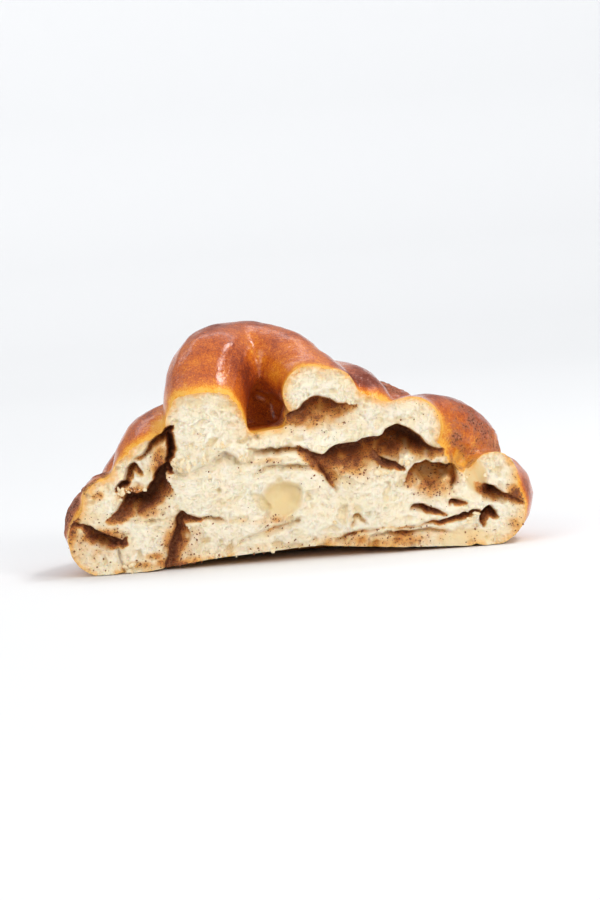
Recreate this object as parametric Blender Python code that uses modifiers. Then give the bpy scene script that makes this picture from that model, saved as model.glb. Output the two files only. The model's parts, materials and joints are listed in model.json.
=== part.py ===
"""Half of a cinnamon knot bun, torn open down the middle, as one dough solid and the cinnamon seams in it.

The bun is a knotted rope of layered dough. Its cut face looks along -Y, its flat base is on Z = 0, and the
hidden back keeps the round outline of the baked bun. Lengths below are in millimetres and are scaled by MM.
"""

import math

import bmesh
import bpy
import numpy as np
from mathutils import Matrix, Vector

MM = 0.001

# Driving sizes
BUN_WIDTH = 119.8
BUN_HEIGHT = 60.5
BUN_DEPTH = 62.8
CUT_Y = -29.0
CENTRING = (-0.85, 2.35, 0.0)

# How finely the dough is shaped before it is thinned out
FUSE_VOXEL = 1.1
FUSE_SMOOTHING = 6
DOUGH_TRIANGLES = 5000
FACE_TRIANGLES = 6500

# The reliefs of the torn face and of the base: grid step, room round the bun, reach beyond the dough
FACE_STEP = 0.6
BASE_STEP = 5.0
RELIEF_MARGIN = 6.0
RELIEF_REACH = 32.0

# Ropes of dough. A stop is (x, depth behind the cut face, z, radius).
ROPES = {
    "top_loop": [
        (-20.2, -9, 21, 9.8),
        (-20.3, -3, 31, 10.2),
        (-20.3, 8, 41.5, 10.7),
        (-18.3, 14.5, 47.8, 11.1),
        (-10.8, 24.5, 50.1, 10.7),
        (-2.6, 21.5, 49.1, 9.8),
        (4.2, 12.5, 45.4, 8.3),
        (6, 4.5, 42.2, 7.2),
        (6, -9, 40.6, 6.9),
    ],
    "loop_end": [
        (11.4, -9, 40.4, 6.2),
        (11.2, 3.5, 41.6, 6.3),
        (6.5, 13, 44.6, 8),
    ],
    "under_loop": [
        (6.2, -9, 32, 6.6),
        (6.2, 3, 33, 6.8),
        (5, 13, 34.5, 7.5),
    ],
    "behind_loop": [
        (23, -9, 28, 6),
        (21, 0, 30.5, 6.4),
        (17.5, 9, 36.3, 9.5),
        (12, 19, 37.5, 11.5),
        (0, 29, 35, 12),
        (-14, 36, 27, 12),
        (-26, 40, 17, 11),
    ],
    "right_shoulder": [
        (14, -9, 31, 6.2),
        (23, -4, 31.3, 6.6),
        (30, 0.5, 31.2, 7.5),
        (31.6, 6, 31, 8),
        (38.6, 15, 26.8, 11.4),
        (42.6, 21.5, 20.6, 12),
        (36, 30, 17, 12.5),
        (24, 40, 14, 12),
    ],
    "back_right": [
        (34, 14, 26, 9),
        (22.4, 22, 31.6, 10.6),
        (12, 32, 32, 11),
        (-2, 40, 24, 11),
        (-10, 44, 14, 11),
    ],
    "left_shoulder": [
        (-33.5, -9, 20, 8),
        (-33, 1, 24.2, 8.2),
        (-34, 12, 29.2, 9.8),
        (-27, 17, 31.8, 10.6),
        (-16, 24, 35, 12),
        (-2, 32, 31, 12),
        (12, 38, 22, 11),
    ],
    "shoulder_tip": [
        (-39.6, -9, 22.8, 5.6),
        (-39.6, 1, 23.6, 5.8),
        (-37, 9, 27.4, 8),
    ],
    "left_fold": [
        (-46.6, -9, 17.4, 6.2),
        (-46.6, 0, 17.4, 6.3),
        (-46.8, 6, 17.3, 7.9),
        (-43.6, 15, 16.2, 9.4),
        (-37, 24, 22, 11.5),
        (-24, 34, 25, 11),
        (-10, 40, 20, 11),
    ],
    "base_left": [
        (-48.6, -9, 8.2, 8.5),
        (-48.6, 0, 8.3, 8.7),
        (-47.6, 11, 11, 12),
        (-44, 22, 11, 12),
        (-34, 36, 11, 12),
        (-18, 45, 12, 12),
        (0, 46, 15, 11),
    ],
    "right_edge": [
        (50.4, -9, 17.3, 5.7),
        (50.4, 1, 17.3, 6),
        (48.8, 12, 12.5, 11.6),
    ],
    "base_right": [
        (49.2, -9, 7.5, 8),
        (49.2, 0, 7.7, 8.2),
        (49.2, 11, 11, 12),
        (45, 21, 11, 12),
        (35, 35, 11, 12),
        (18, 44, 11.5, 12.5),
        (0, 46, 12, 12),
        (-16, 42, 12, 11),
    ],
}

# The soft middle that the ropes have baked into: centre (x, depth, z) and half-sizes.
CORES = [
    ((0, 12, 5.5), (51, 36, 13)),
    ((0, 10, 14), (50, 32, 12)),
    ((2, 10, 22), (40, 28, 12)),
    ((-8, 16, 22), (28, 20, 12)),
    ((16, 28, 18), (24, 18, 12)),
]

# The base lifts a little off the plate along the cut: (x, height).
BASE_ARCH = [(-60, 0), (-38, 0), (-30, 1), (-20, 2), (5, 3.2), (15, 2.1), (28, 1), (46, 0), (60, 0)]
ARCH_REACH = 24.0

# Seams and hollows of the cut face. The hollow lies on the right-hand side of the line as it is walked.
# A stop is (x, z, width, depth).
SEAMS = {
    "big_hollow": [
        (4, 27.2, 3, 2.5),
        (8, 25.4, 5, 7),
        (12, 27.4, 7.5, 9),
        (18, 28.6, 8, 10.5),
        (22.5, 29, 8.5, 12),
        (25, 31, 10, 14),
        (27.5, 31.3, 9, 15),
        (30.4, 30.4, 8, 15),
        (32.8, 27.8, 6.5, 13),
        (35, 25.6, 4, 8),
        (38, 25.2, 1.6, 2.4),
    ],
    "flap_tail": [(21.4, 25, 1.6, 3), (23.6, 23.2, 2.4, 6), (26, 21.8, 2, 5), (27.6, 20.8, 1, 2)],
    "hollow_side": [(10, 17.8, 3, 2), (8.2, 20, 4.5, 4), (6.8, 22.4, 4, 5), (7.4, 24.4, 2, 5)],
    "loop_hollow": [
        (-1, 36.6, 3, 3),
        (1.5, 36.9, 4.5, 5),
        (4, 38, 5.5, 6.5),
        (6, 39.7, 6, 7.5),
        (8.6, 40.3, 6.5, 8),
        (11, 39.4, 6, 7.5),
        (13, 38.2, 5, 6),
        (15.8, 37.8, 3, 3),
    ],
    "shelf": [
        (-10, 28.9, 1.6, 2),
        (-6, 28.1, 1.8, 4),
        (-3, 28.3, 1.6, 4.5),
        (1, 28, 1.4, 3),
        (6, 25.9, 1.4, 3),
    ],
    "under_flap": [
        (-9, 22.7, 1.2, 1),
        (-5, 24, 1.4, 1.8),
        (0, 23.8, 1.6, 2.4),
        (5, 23.2, 1.4, 2.4),
        (7.6, 22.6, 1.2, 2),
    ],
    "torn_leg": [
        (-29.4, 25.6, 1.5, 2),
        (-27, 24.2, 2, 2),
        (-24, 24.5, 2.5, 1.6),
        (-20.5, 26, 3, 2),
        (-17, 28.4, 3.5, 2.8),
        (-14, 27, 3, 2.5),
        (-12.2, 25, 2, 1.5),
        (-10.6, 27, 2, 1.8),
        (-10, 28.6, 1.5, 1.8),
    ],
    "right_pocket": [
        (28.3, 18, 3.5, 2.5),
        (29.8, 20.3, 6, 6.5),
        (31.6, 21.6, 7.5, 9),
        (34.5, 22, 8, 10.5),
        (38.5, 21, 7.5, 11),
        (40.8, 20.6, 5, 9),
        (41.3, 18.5, 4, 7),
        (40.8, 16, 3, 3.5),
    ],
    "right_gap": [
        (42.2, 20.8, 1.5, 2),
        (44.6, 20.4, 3, 4),
        (46, 18.4, 3.6, 4.5),
        (47.4, 15.6, 3, 4),
        (49.4, 14.4, 1.5, 3),
    ],
    "right_lobes": [
        (48, 14.8, 3.2, 5),
        (50, 14.6, 4.4, 9),
        (52.2, 12.6, 3, 7),
        (54, 11.4, 1.6, 3),
        (57, 10.2, 1, 2),
    ],
    "right_notch": [(46.7, 5.6, 1.5, 3), (47.4, 8.2, 2.4, 7), (48.8, 9.6, 2.8, 8), (50.4, 8, 1.8, 5)],
    "right_slit": [(29.4, 11.1, 1.2, 2), (31.6, 10.8, 1.9, 5), (34.4, 9.7, 1.5, 4), (37.4, 8.8, 0.9, 1.4)],
    "small_slit": [(38.8, 11, 0.9, 1.5), (40.4, 11.9, 1.6, 4), (43.2, 11.2, 0.9, 2)],
    "low_slit": [
        (20, 6.4, 0.7, 0.7),
        (30, 6.5, 0.7, 0.9),
        (37, 7.2, 1.1, 3),
        (42, 8.1, 1.5, 5),
        (46.2, 8.9, 1, 3),
    ],
    "base_slit": [
        (17.8, 2.6, 0.8, 1.2),
        (18.8, 4, 0.9, 1.6),
        (22, 4.7, 1.1, 2.4),
        (26, 5, 1.3, 3),
        (30, 4.9, 1.2, 2.6),
        (36, 4.9, 1.2, 2),
        (41, 3.3, 0.8, 1),
    ],
    "base_fold": [(8, 3.4, 0.9, 1), (11, 4.3, 1.2, 1.6), (13.4, 5.5, 1.5, 2), (20, 6.2, 0.9, 1)],
    "middle_fold": [
        (-14.4, 5.4, 1.2, 1),
        (-10, 7.1, 2, 1.6),
        (-6, 8.6, 2.4, 2),
        (-2.5, 9, 2, 2),
        (0.6, 10, 1.2, 1.6),
    ],
    "amber_slit": [(-25, 12.4, 1, 1.6), (-20, 12.1, 1.3, 2.6), (-16.2, 11.1, 1, 1), (-9, 12.1, 0.6, 0.6)],
    "bubble": [
        (-7.6, 11.4, 1.5, 1.5),
        (-6.2, 14, 3, 3),
        (-6.8, 16.4, 4, 3.6),
        (-5, 18.2, 5, 4.2),
        (-0.4, 18.4, 5.5, 4.6),
        (1.9, 17.4, 4, 4.6),
        (0.4, 14.8, 3.5, 5),
        (-1.8, 12, 2, 4),
    ],
    "small_pocket": [(13.8, 7.8, 1.2, 1.2), (15.2, 10.6, 1.8, 3), (17, 8.8, 1.4, 2)],
    "tall_seam": [
        (-33.4, 0.2, 4, 2.4),
        (-32.6, 3.4, 4.4, 3.2),
        (-31.8, 6, 4.6, 3.8),
        (-30.6, 9, 5.4, 4.6),
        (-30, 12, 5.4, 5.4),
        (-28.4, 14, 3.4, 5.4),
        (-26.4, 13, 2, 3.6),
        (-24, 12.2, 1, 1.6),
    ],
    "left_hollow": [
        (-45.6, 14.4, 3, 2),
        (-43.6, 16, 4.5, 5),
        (-42.3, 18.4, 6, 9),
        (-41.4, 19.6, 6.5, 11),
        (-39, 19.3, 6, 12),
        (-37, 20, 5.5, 11),
        (-35.8, 21.6, 6, 10),
        (-34.4, 23.6, 6.5, 10),
        (-33, 25, 6.5, 10),
        (-31, 26.6, 4, 9),
        (-29.6, 25.4, 1.5, 5),
    ],
    "leg_gap": [(-30.9, 27.2, 1.6, 7), (-30.4, 30, 2.3, 10), (-30.4, 32.4, 2.4, 11), (-31, 34.6, 2, 10)],
    "crust_fold": [
        (-38.4, 28.4, 0.8, 1.5),
        (-36.6, 29.4, 1.3, 3.5),
        (-35.4, 31.4, 2, 5),
        (-33.8, 33.2, 2.4, 6.5),
        (-31.6, 35, 2.6, 9),
        (-29.6, 36.2, 1.5, 9),
    ],
    "flap_pocket": [
        (-41.6, 22.6, 1.8, 3),
        (-41.2, 25, 3, 5),
        (-39.9, 26.6, 3.4, 5.5),
        (-38.3, 26.7, 2.4, 4),
        (-37.6, 25, 1.4, 2),
    ],
    "flap_notch": [(-44, 21.3, 1, 3), (-42.8, 22.4, 2, 7), (-41.6, 22.4, 1.5, 6)],
    "left_lobes": [
        (-56, 13, 1, 1.5),
        (-53, 12.2, 1.6, 3),
        (-50.6, 10.8, 3.6, 7),
        (-48, 9.9, 3.8, 8.5),
        (-46, 9, 3.4, 6.5),
        (-44, 8, 2.4, 4),
        (-42.6, 9, 0.8, 1.2),
    ],
    "base_lobes": [(-43.6, 0.2, 0.8, 1.2), (-44.6, 2.8, 1.2, 1.8), (-45.2, 5.4, 1.2, 2.4)],
    "ledge": [(-43, 13.3, 0.8, 0.9), (-38, 12.7, 0.9, 1), (-31, 13.1, 0.7, 0.7)],
}
LIP = 0.9

# Cinnamon filling: (seam, its stops that the filling follows, thickness, how deep it runs at each end).
FILLINGS = {
    "cinnamon_hollow": ("big_hollow", (1, 2, 3, 4, 5, 7, 9), 1.4, 34, 17),
    "cinnamon_right_pocket": ("right_pocket", (0, 1, 3, 5), 1.4, 22, 18),
    "cinnamon_right_fold": ("right_lobes", (0, 1, 3), 1.2, 16, 13),
    "cinnamon_right_slit": ("right_slit", (0, 1, 2), 1.0, 24, 22),
    "cinnamon_low_seam": ("low_slit", (2, 3, 4), 0.9, 22, 16),
    "cinnamon_base_seam": ("base_slit", (2, 3, 4), 0.9, 22, 20),
    "cinnamon_middle_seam": ("middle_fold", (0, 2, 4), 1.0, 32, 34),
    "cinnamon_tall_seam": ("tall_seam", (1, 3, 4, 5), 1.4, 22, 26),
    "cinnamon_left_hollow": ("left_hollow", (0, 2, 4, 6, 8), 1.4, 17, 26),
    "cinnamon_left_crust": ("crust_fold", (1, 2, 4), 1.2, 14, 17),
    "cinnamon_left_fold": ("left_lobes", (1, 3, 5), 1.2, 14, 15),
}
FILLING_INSET = 1.0
FILLING_PROUD = 0.8
SLOT_GAP = 0.3

DOUGH_COLOR = (0.86, 0.66, 0.36)
CINNAMON_COLOR = (0.22, 0.085, 0.03)

# Where the torn face stands proud (negative) or lies back (positive): centre (x, z), half-sizes, height.
SWELLS = [
    ((-20, 34), (11, 12), -2.6),
    ((-20, 51), (16, 7.5), -8.5),
    ((-9, 43), (3.6, 7), -3.0),
    ((7, 42), (9, 7), 0.6),
    ((10, 33), (16, 5), 1.2),
    ((-34, 28), (5, 8), 1.6),
    ((-52, 6), (9, 8), 0.8),
    ((51, 17), (8, 6), 0.6),
    ((52, 5), (8, 6), 1.0),
    ((-5, 20), (24, 5), -0.8),
    ((32, 33), (9, 6), -0.6),
    ((0, 3), (45, 4), 1.2),
]

# Thin layers and torn edges that stand proud of the face: height, half-width, and stops (x, z).
RIDGES = {
    "pocket_flap": (1.9, 1.4, [(26.4, 21), (28.6, 23.6), (32, 24.6), (37, 24.4), (42.4, 22.8), (44, 21.8)]),
    "shelf_layer": (0.9, 1.3, [(-9, 30), (-4, 30.2), (1, 29.8)]),
    "middle_layer": (1.0, 1.3, [(-9, 26), (-3, 26.6), (3, 25.8), (8.4, 24)]),
    "leg_hem": (
        1.1,
        1.0,
        [(-29.4, 27.4), (-26, 26.4), (-21, 28), (-17, 30.2), (-13.6, 28.6), (-11.6, 26.6), (-10, 29.4)],
    ),
    "left_strip": (0.9, 1.3, [(-41, 20.6), (-38, 23.4), (-35.6, 26.4), (-33.6, 29.6)]),
    "bubble_fold": (1.3, 0.9, [(-1.4, 11.6), (0.6, 14.4), (2.8, 17.2), (6.4, 18)]),
    "bottom_layer": (0.7, 1.0, [(20, 5.4), (30, 7.4), (38, 9.4), (46, 11.6)]),
    "right_skin": (0.8, 1.2, [(43.6, 7), (46, 9.6), (46.8, 12.4), (45.4, 15.6)]),
}


def clear_scene():
    for old in list(bpy.data.objects):
        bpy.data.objects.remove(old, do_unlink=True)


def smoothstep(value):
    value = np.clip(value, 0.0, 1.0)
    return value * value * (3.0 - 2.0 * value)


def seam_depth(x, z, stops):
    """How far one seam reaches behind the cut face at each point."""
    nearest = np.full(x.shape, 1e9)
    depth_here = np.zeros(x.shape)
    for (x0, z0, w0, d0), (x1, z1, w1, d1) in zip(stops, stops[1:]):
        along = np.array([x1 - x0, z1 - z0])
        length = math.hypot(*along)
        along = along / length
        share = np.clip(((x - x0) * along[0] + (z - z0) * along[1]) / length, 0, 1)
        away_x = x - (x0 + share * (x1 - x0))
        away_z = z - (z0 + share * (z1 - z0))
        distance = np.hypot(away_x, away_z)
        inside = away_x * along[1] - away_z * along[0] >= 0
        width = w0 + share * (w1 - w0)
        depth = d0 + share * (d1 - d0)
        reach = np.where(inside, distance / width, distance / LIP)
        fade = np.where(inside, 0.5 + 0.5 * np.cos(np.pi * np.clip(reach, 0, 1)), 1.0 - smoothstep(reach))
        closer = distance < nearest
        nearest = np.where(closer, distance, nearest)
        depth_here = np.where(closer, depth * fade, depth_here)
    return depth_here


def away_from_line(x, z, stops):
    """Distance of each point from a line through stops."""
    nearest = np.full(x.shape, 1e9)
    for (x0, z0), (x1, z1) in zip(stops, stops[1:]):
        run_x, run_z = x1 - x0, z1 - z0
        share = np.clip(((x - x0) * run_x + (z - z0) * run_z) / (run_x**2 + run_z**2), 0, 1)
        nearest = np.minimum(nearest, np.hypot(x - x0 - share * run_x, z - z0 - share * run_z))
    return nearest


def face_depth(x, z):
    """Depth of the torn face behind the cut plane, over the whole face."""
    depth = np.zeros(x.shape)
    for height, width, stops in RIDGES.values():
        depth -= height * np.exp(-(away_from_line(x, z, stops) / width) ** 2)
    for (cx, cz), (rx, rz), height in SWELLS:
        spread = ((x - cx) / rx) ** 2 + ((z - cz) / rz) ** 2
        depth += height * np.exp(-spread)
    carved = np.zeros(x.shape)
    for stops in SEAMS.values():
        carved = np.maximum(carved, seam_depth(x, z, stops))
    return depth + carved


def principled(name, color, roughness):
    material = bpy.data.materials.new(name)
    material.use_nodes = True
    shader = material.node_tree.nodes["Principled BSDF"]
    shader.inputs["Base Color"].default_value = (*color, 1.0)
    shader.inputs["Roughness"].default_value = roughness
    shader.inputs["Metallic"].default_value = 0.0
    return material


def new_object(name, mesh, collection, cutter=False):
    made = bpy.data.objects.new(name, mesh)
    collection.objects.link(made)
    if cutter:
        made.hide_render = True
        made.display_type = "WIRE"
    return made


def mesh_of(name, shape):
    mesh = bpy.data.meshes.new(name)
    shape.to_mesh(mesh)
    shape.free()
    return mesh


def evaluated_copy(source):
    """A plain mesh of what the object's modifiers give."""
    bpy.context.view_layer.update()
    graph = bpy.context.evaluated_depsgraph_get()
    return bpy.data.meshes.new_from_object(source.evaluated_get(graph), depsgraph=graph)


def apply_modifiers(item):
    mesh = evaluated_copy(item)
    item.modifiers.clear()
    item.data = mesh


def rope(name, stops, collection):
    """One rope of dough: a bevelled curve, turned into a closed mesh."""
    curve = bpy.data.curves.new(name, "CURVE")
    curve.dimensions = "3D"
    curve.bevel_depth = MM
    curve.bevel_resolution = 4
    curve.resolution_u = 8
    curve.use_fill_caps = True
    spline = curve.splines.new("BEZIER")
    spline.bezier_points.add(len(stops) - 1)
    for point, (x, depth, z, radius) in zip(spline.bezier_points, stops):
        point.co = Vector((x, CUT_Y + depth, z)) * MM
        point.handle_left_type = point.handle_right_type = "AUTO"
        point.radius = radius
    drawn = new_object(name + "_curve", curve, collection)
    shape = bmesh.new()
    shape.from_mesh(evaluated_copy(drawn))
    bpy.data.objects.remove(drawn)
    bmesh.ops.remove_doubles(shape, verts=shape.verts, dist=0.01 * MM)
    return new_object(name, mesh_of(name, shape), collection)


def soft_core(name, centre, sizes, collection):
    """A rounded block of dough inside the ropes."""
    shape = bmesh.new()
    bmesh.ops.create_uvsphere(shape, u_segments=32, v_segments=16, radius=1.0)
    shape.transform(Matrix.Diagonal((*(Vector(sizes) * MM), 1.0)))
    shape.transform(Matrix.Translation(Vector((centre[0], CUT_Y + centre[1], centre[2])) * MM))
    return new_object(name, mesh_of(name, shape), collection)


def fused_dough(collection):
    """The ropes and the soft middle baked into one body, with softened creases between them."""
    baked = bpy.data.collections.new("baked_together")
    bpy.context.scene.collection.children.link(baked)
    for name, stops in ROPES.items():
        rope(name, stops, baked)
    for number, (centre, sizes) in enumerate(CORES[1:]):
        soft_core(f"core_{number}", centre, sizes, baked)
    dough = soft_core("dough", *CORES[0], collection)
    join = dough.modifiers.new("join", "BOOLEAN")
    join.operation = "UNION"
    join.solver = "MANIFOLD"
    join.operand_type = "COLLECTION"
    join.collection = baked
    fuse = dough.modifiers.new("fuse", "REMESH")
    fuse.mode = "VOXEL"
    fuse.voxel_size = FUSE_VOXEL * MM
    soften = dough.modifiers.new("soften", "SMOOTH")
    soften.factor = 0.5
    soften.iterations = FUSE_SMOOTHING
    apply_modifiers(dough)
    for item in list(baked.objects):
        bpy.data.objects.remove(item)
    bpy.data.collections.remove(baked)
    return dough


def relief_cutter(name, size, step, place, reach, collection):
    """A closed block with one side pressed into a relief: a grid put in place, then drawn out by reach."""
    columns, rows = (round(side / step) for side in size)
    shape = bmesh.new()
    bmesh.ops.create_grid(shape, x_segments=columns, y_segments=rows, size=0.5)
    points = np.array([vert.co for vert in shape.verts])
    placed = np.column_stack(place(points[:, 0] * size[0], points[:, 1] * size[1])) * MM
    for vert, spot in zip(shape.verts, placed):
        vert.co = spot
    drawn = bmesh.ops.extrude_face_region(shape, geom=shape.faces[:])["geom"]
    far_verts = [part for part in drawn if isinstance(part, bmesh.types.BMVert)]
    bmesh.ops.translate(shape, vec=Vector(reach) * MM, verts=far_verts)
    bmesh.ops.recalc_face_normals(shape, faces=shape.faces)
    return new_object(name, mesh_of(name, shape), collection, cutter=True)


def torn_face(across, up):
    z = up + BUN_HEIGHT / 2
    return across, CUT_Y + face_depth(across, z), z


def arched_base(across, back):
    stops = np.array(BASE_ARCH)
    fade = smoothstep(1 - (back - CUT_Y) / ARCH_REACH)
    return across, back, np.interp(across, stops[:, 0], stops[:, 1]) * fade


def subtract(item, cutter, solver="EXACT"):
    cut = item.modifiers.new(cutter.name, "BOOLEAN")
    cut.operation = "DIFFERENCE"
    cut.solver = solver
    cut.object = cutter


def thin_out(item, triangles):
    item.data.calc_loop_triangles()
    thin = item.modifiers.new("thin", "DECIMATE")
    thin.ratio = min(1.0, triangles / len(item.data.loop_triangles))
    apply_modifiers(item)


def keep_largest_piece(item):
    """Drops loose scraps and fills hollows that fusing has sealed."""
    shape = bmesh.new()
    shape.from_mesh(item.data)
    waiting = set(shape.verts)
    pieces = []
    while waiting:
        piece = [waiting.pop()]
        for vert in piece:
            linked = {link.other_vert(vert) for link in vert.link_edges} & waiting
            waiting -= linked
            piece.extend(linked)
        pieces.append(piece)
    pieces.sort(key=len)
    for piece in pieces[:-1]:
        bmesh.ops.delete(shape, geom=piece, context="VERTS")
    shape.to_mesh(item.data)
    shape.free()


def filling_sheet(name, spec, gap, collection):
    """A sheet of filling along its seam, running back into the dough; with a gap, the slot round it."""
    seam, followed, thickness, reach_first, reach_last = spec
    stops = [SEAMS[seam][number] for number in followed]
    line = [Vector((x, z)) for x, z, width, depth in stops]
    runs = [(end - start).normalized() for start, end in zip(line, line[1:])]
    headings = [(before + after).normalized() for before, after in zip(runs[:1] + runs, runs + runs[-1:])]
    path = [spot + FILLING_INSET * Vector((way.y, -way.x)) for spot, way in zip(line, headings)]
    path[0] -= gap * runs[0]
    path[-1] += gap * runs[-1]
    backs = np.linspace(reach_first, reach_last, len(path)) + gap
    shape = bmesh.new()
    bmesh.ops.create_grid(shape, x_segments=len(path) - 1, y_segments=1, size=0.5)
    for vert in shape.verts:
        place = round((vert.co.x + 0.5) * (len(path) - 1))
        shown = 0.0 if gap else max(stops[place][3] - FILLING_PROUD, 0.4)
        depth = shown if vert.co.y < 0 else backs[place]
        vert.co = Vector((path[place].x, CUT_Y + depth, path[place].y)) * MM
    sheet = new_object(name, mesh_of(name, shape), collection, cutter=gap > 0)
    thick = sheet.modifiers.new("thick", "SOLIDIFY")
    thick.thickness = (thickness + 2 * gap) * MM
    thick.offset = 0.0
    thick.use_even_offset = True
    apply_modifiers(sheet)
    return sheet


def main():
    clear_scene()
    bun = bpy.data.collections.new("cinnamon_knot_bun_half")
    cutters = bpy.data.collections.new("cutters")
    for collection in (bun, cutters):
        bpy.context.scene.collection.children.link(collection)

    dough = fused_dough(bun)
    across = BUN_WIDTH + 2 * RELIEF_MARGIN
    face_size = (across, BUN_HEIGHT + 2 * RELIEF_MARGIN)
    face = relief_cutter("torn_face", face_size, FACE_STEP, torn_face, (0, -RELIEF_REACH, 0), cutters)
    base_size = (across, 2 * BUN_DEPTH)
    base = relief_cutter("base", base_size, BASE_STEP, arched_base, (0, 0, -RELIEF_REACH), cutters)
    thin_out(dough, DOUGH_TRIANGLES)
    thin_out(face, FACE_TRIANGLES)
    subtract(dough, face, solver="MANIFOLD")
    subtract(dough, base, solver="MANIFOLD")
    apply_modifiers(dough)

    cinnamon = principled("cinnamon", CINNAMON_COLOR, 0.7)
    for name, spec in FILLINGS.items():
        filling = filling_sheet(name, spec, 0.0, bun)
        filling.data.materials.append(cinnamon)
        subtract(dough, filling_sheet(name + "_slot", spec, SLOT_GAP, cutters))
    apply_modifiers(dough)
    keep_largest_piece(dough)
    dough.data.materials.clear()
    dough.data.materials.append(principled("dough", DOUGH_COLOR, 0.8))

    centring = Matrix.Translation(Vector(CENTRING) * MM)
    for item in bun.objects:
        item.data.transform(centring)


main()
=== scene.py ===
"""A torn half of a cinnamon knot bun, dressed with its glossy crust, open crumb and cinnamon seams.

Lengths in the tables below are in millimetres: x to the right, depth into the bun from the cut plane,
and z up from the base.
"""
import itertools
import json
import math

import bmesh
import bpy
import numpy as np
from mathutils import Matrix, Vector
from mathutils.bvhtree import BVHTree
from mathutils.kdtree import KDTree

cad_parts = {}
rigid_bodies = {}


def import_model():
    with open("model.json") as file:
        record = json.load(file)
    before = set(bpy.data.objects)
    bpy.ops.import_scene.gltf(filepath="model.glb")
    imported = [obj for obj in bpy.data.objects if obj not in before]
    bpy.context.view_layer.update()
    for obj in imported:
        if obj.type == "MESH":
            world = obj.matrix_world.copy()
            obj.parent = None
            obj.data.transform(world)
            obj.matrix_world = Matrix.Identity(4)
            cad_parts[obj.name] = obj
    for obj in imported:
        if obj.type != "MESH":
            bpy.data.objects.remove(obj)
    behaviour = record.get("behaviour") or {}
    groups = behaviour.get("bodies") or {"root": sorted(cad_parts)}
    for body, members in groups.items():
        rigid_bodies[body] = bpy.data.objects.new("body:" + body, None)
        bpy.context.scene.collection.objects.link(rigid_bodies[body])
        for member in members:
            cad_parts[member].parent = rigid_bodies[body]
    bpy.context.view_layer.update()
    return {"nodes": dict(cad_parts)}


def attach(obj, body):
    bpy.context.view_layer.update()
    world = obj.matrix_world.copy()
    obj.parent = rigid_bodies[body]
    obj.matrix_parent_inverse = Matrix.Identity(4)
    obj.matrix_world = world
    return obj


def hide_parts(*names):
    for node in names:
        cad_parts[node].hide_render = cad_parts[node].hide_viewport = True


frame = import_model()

MM = 0.001
CUT_Y = -29.0
CENTRING = (-0.85, 2.35, 0.0)

# Fineness of the dough: its crust, its torn face and its base
CRUST_VOXEL = 0.8
CRUST_SMOOTHING = 7
FACE_STEP = 0.3
FACE_RANGE = ((-66.0, 66.0), (-5.0, 66.0))
BASE_STEP = 3.0
BASE_RANGE = ((-66.0, 66.0), (-44.0, 46.0))
RELIEF_REACH = 32.0

# A grain is kept this near to the dough, and a point counts as on the torn face or the base this near to it
ON_SURFACE = 0.3
ON_CUT = 0.06
ON_BASE = 0.05

# Ropes of dough. A stop is (x, depth behind the cut face, z, radius).
ROPES = {
    "top_loop": [
        (-20.2, -9, 21, 9.8),
        (-20.3, -3, 31, 10.2),
        (-20.3, 8, 41.5, 10.7),
        (-18.3, 14.5, 47.8, 11.1),
        (-10.8, 24.5, 50.1, 10.7),
        (-2.6, 21.5, 49.1, 9.8),
        (4.2, 12.5, 45.4, 8.3),
        (6, 4.5, 42.2, 7.2),
        (6, -9, 40.6, 6.9),
    ],
    "loop_end": [
        (11.4, -9, 40.4, 6.2),
        (11.2, 3.5, 41.6, 6.3),
        (6.5, 13, 44.6, 8),
    ],
    "under_loop": [
        (6.2, -9, 32, 6.6),
        (6.2, 3, 33, 6.8),
        (5, 13, 34.5, 7.5),
    ],
    "behind_loop": [
        (23, -9, 28, 6),
        (21, 0, 30.5, 6.4),
        (17.5, 9, 36.3, 9.5),
        (12, 19, 37.5, 11.5),
        (0, 29, 35, 12),
        (-14, 36, 27, 12),
        (-26, 40, 17, 11),
    ],
    "right_shoulder": [
        (14, -9, 31, 6.2),
        (23, -4, 31.3, 6.6),
        (30, 0.5, 31.2, 7.5),
        (31.6, 6, 31, 8),
        (38.6, 15, 26.8, 11.4),
        (42.6, 21.5, 20.6, 12),
        (36, 30, 17, 12.5),
        (24, 40, 14, 12),
    ],
    "back_right": [
        (34, 14, 26, 9),
        (22.4, 22, 31.6, 10.6),
        (12, 32, 32, 11),
        (-2, 40, 24, 11),
        (-10, 44, 14, 11),
    ],
    "left_shoulder": [
        (-33.5, -9, 20, 8),
        (-33, 1, 24.2, 8.2),
        (-34, 12, 29.2, 9.8),
        (-27, 17, 31.8, 10.6),
        (-16, 24, 35, 12),
        (-2, 32, 31, 12),
        (12, 38, 22, 11),
    ],
    "shoulder_tip": [
        (-39.6, -9, 22.8, 5.6),
        (-39.6, 1, 23.6, 5.8),
        (-37, 9, 27.4, 8),
    ],
    "left_fold": [
        (-46.6, -9, 17.4, 6.2),
        (-46.6, 0, 17.4, 6.3),
        (-46.8, 6, 17.3, 7.9),
        (-43.6, 15, 16.2, 9.4),
        (-37, 24, 22, 11.5),
        (-24, 34, 25, 11),
        (-10, 40, 20, 11),
    ],
    "base_left": [
        (-48.6, -9, 8.2, 8.5),
        (-48.6, 0, 8.3, 8.7),
        (-47.6, 11, 11, 12),
        (-44, 22, 11, 12),
        (-34, 36, 11, 12),
        (-18, 45, 12, 12),
        (0, 46, 15, 11),
    ],
    "right_edge": [
        (50.4, -9, 17.3, 5.7),
        (50.4, 1, 17.3, 6),
        (48.8, 12, 12.5, 11.6),
    ],
    "base_right": [
        (49.2, -9, 7.5, 8),
        (49.2, 0, 7.7, 8.2),
        (49.2, 11, 11, 12),
        (45, 21, 11, 12),
        (35, 35, 11, 12),
        (18, 44, 11.5, 12.5),
        (0, 46, 12, 12),
        (-16, 42, 12, 11),
    ],
}

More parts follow.
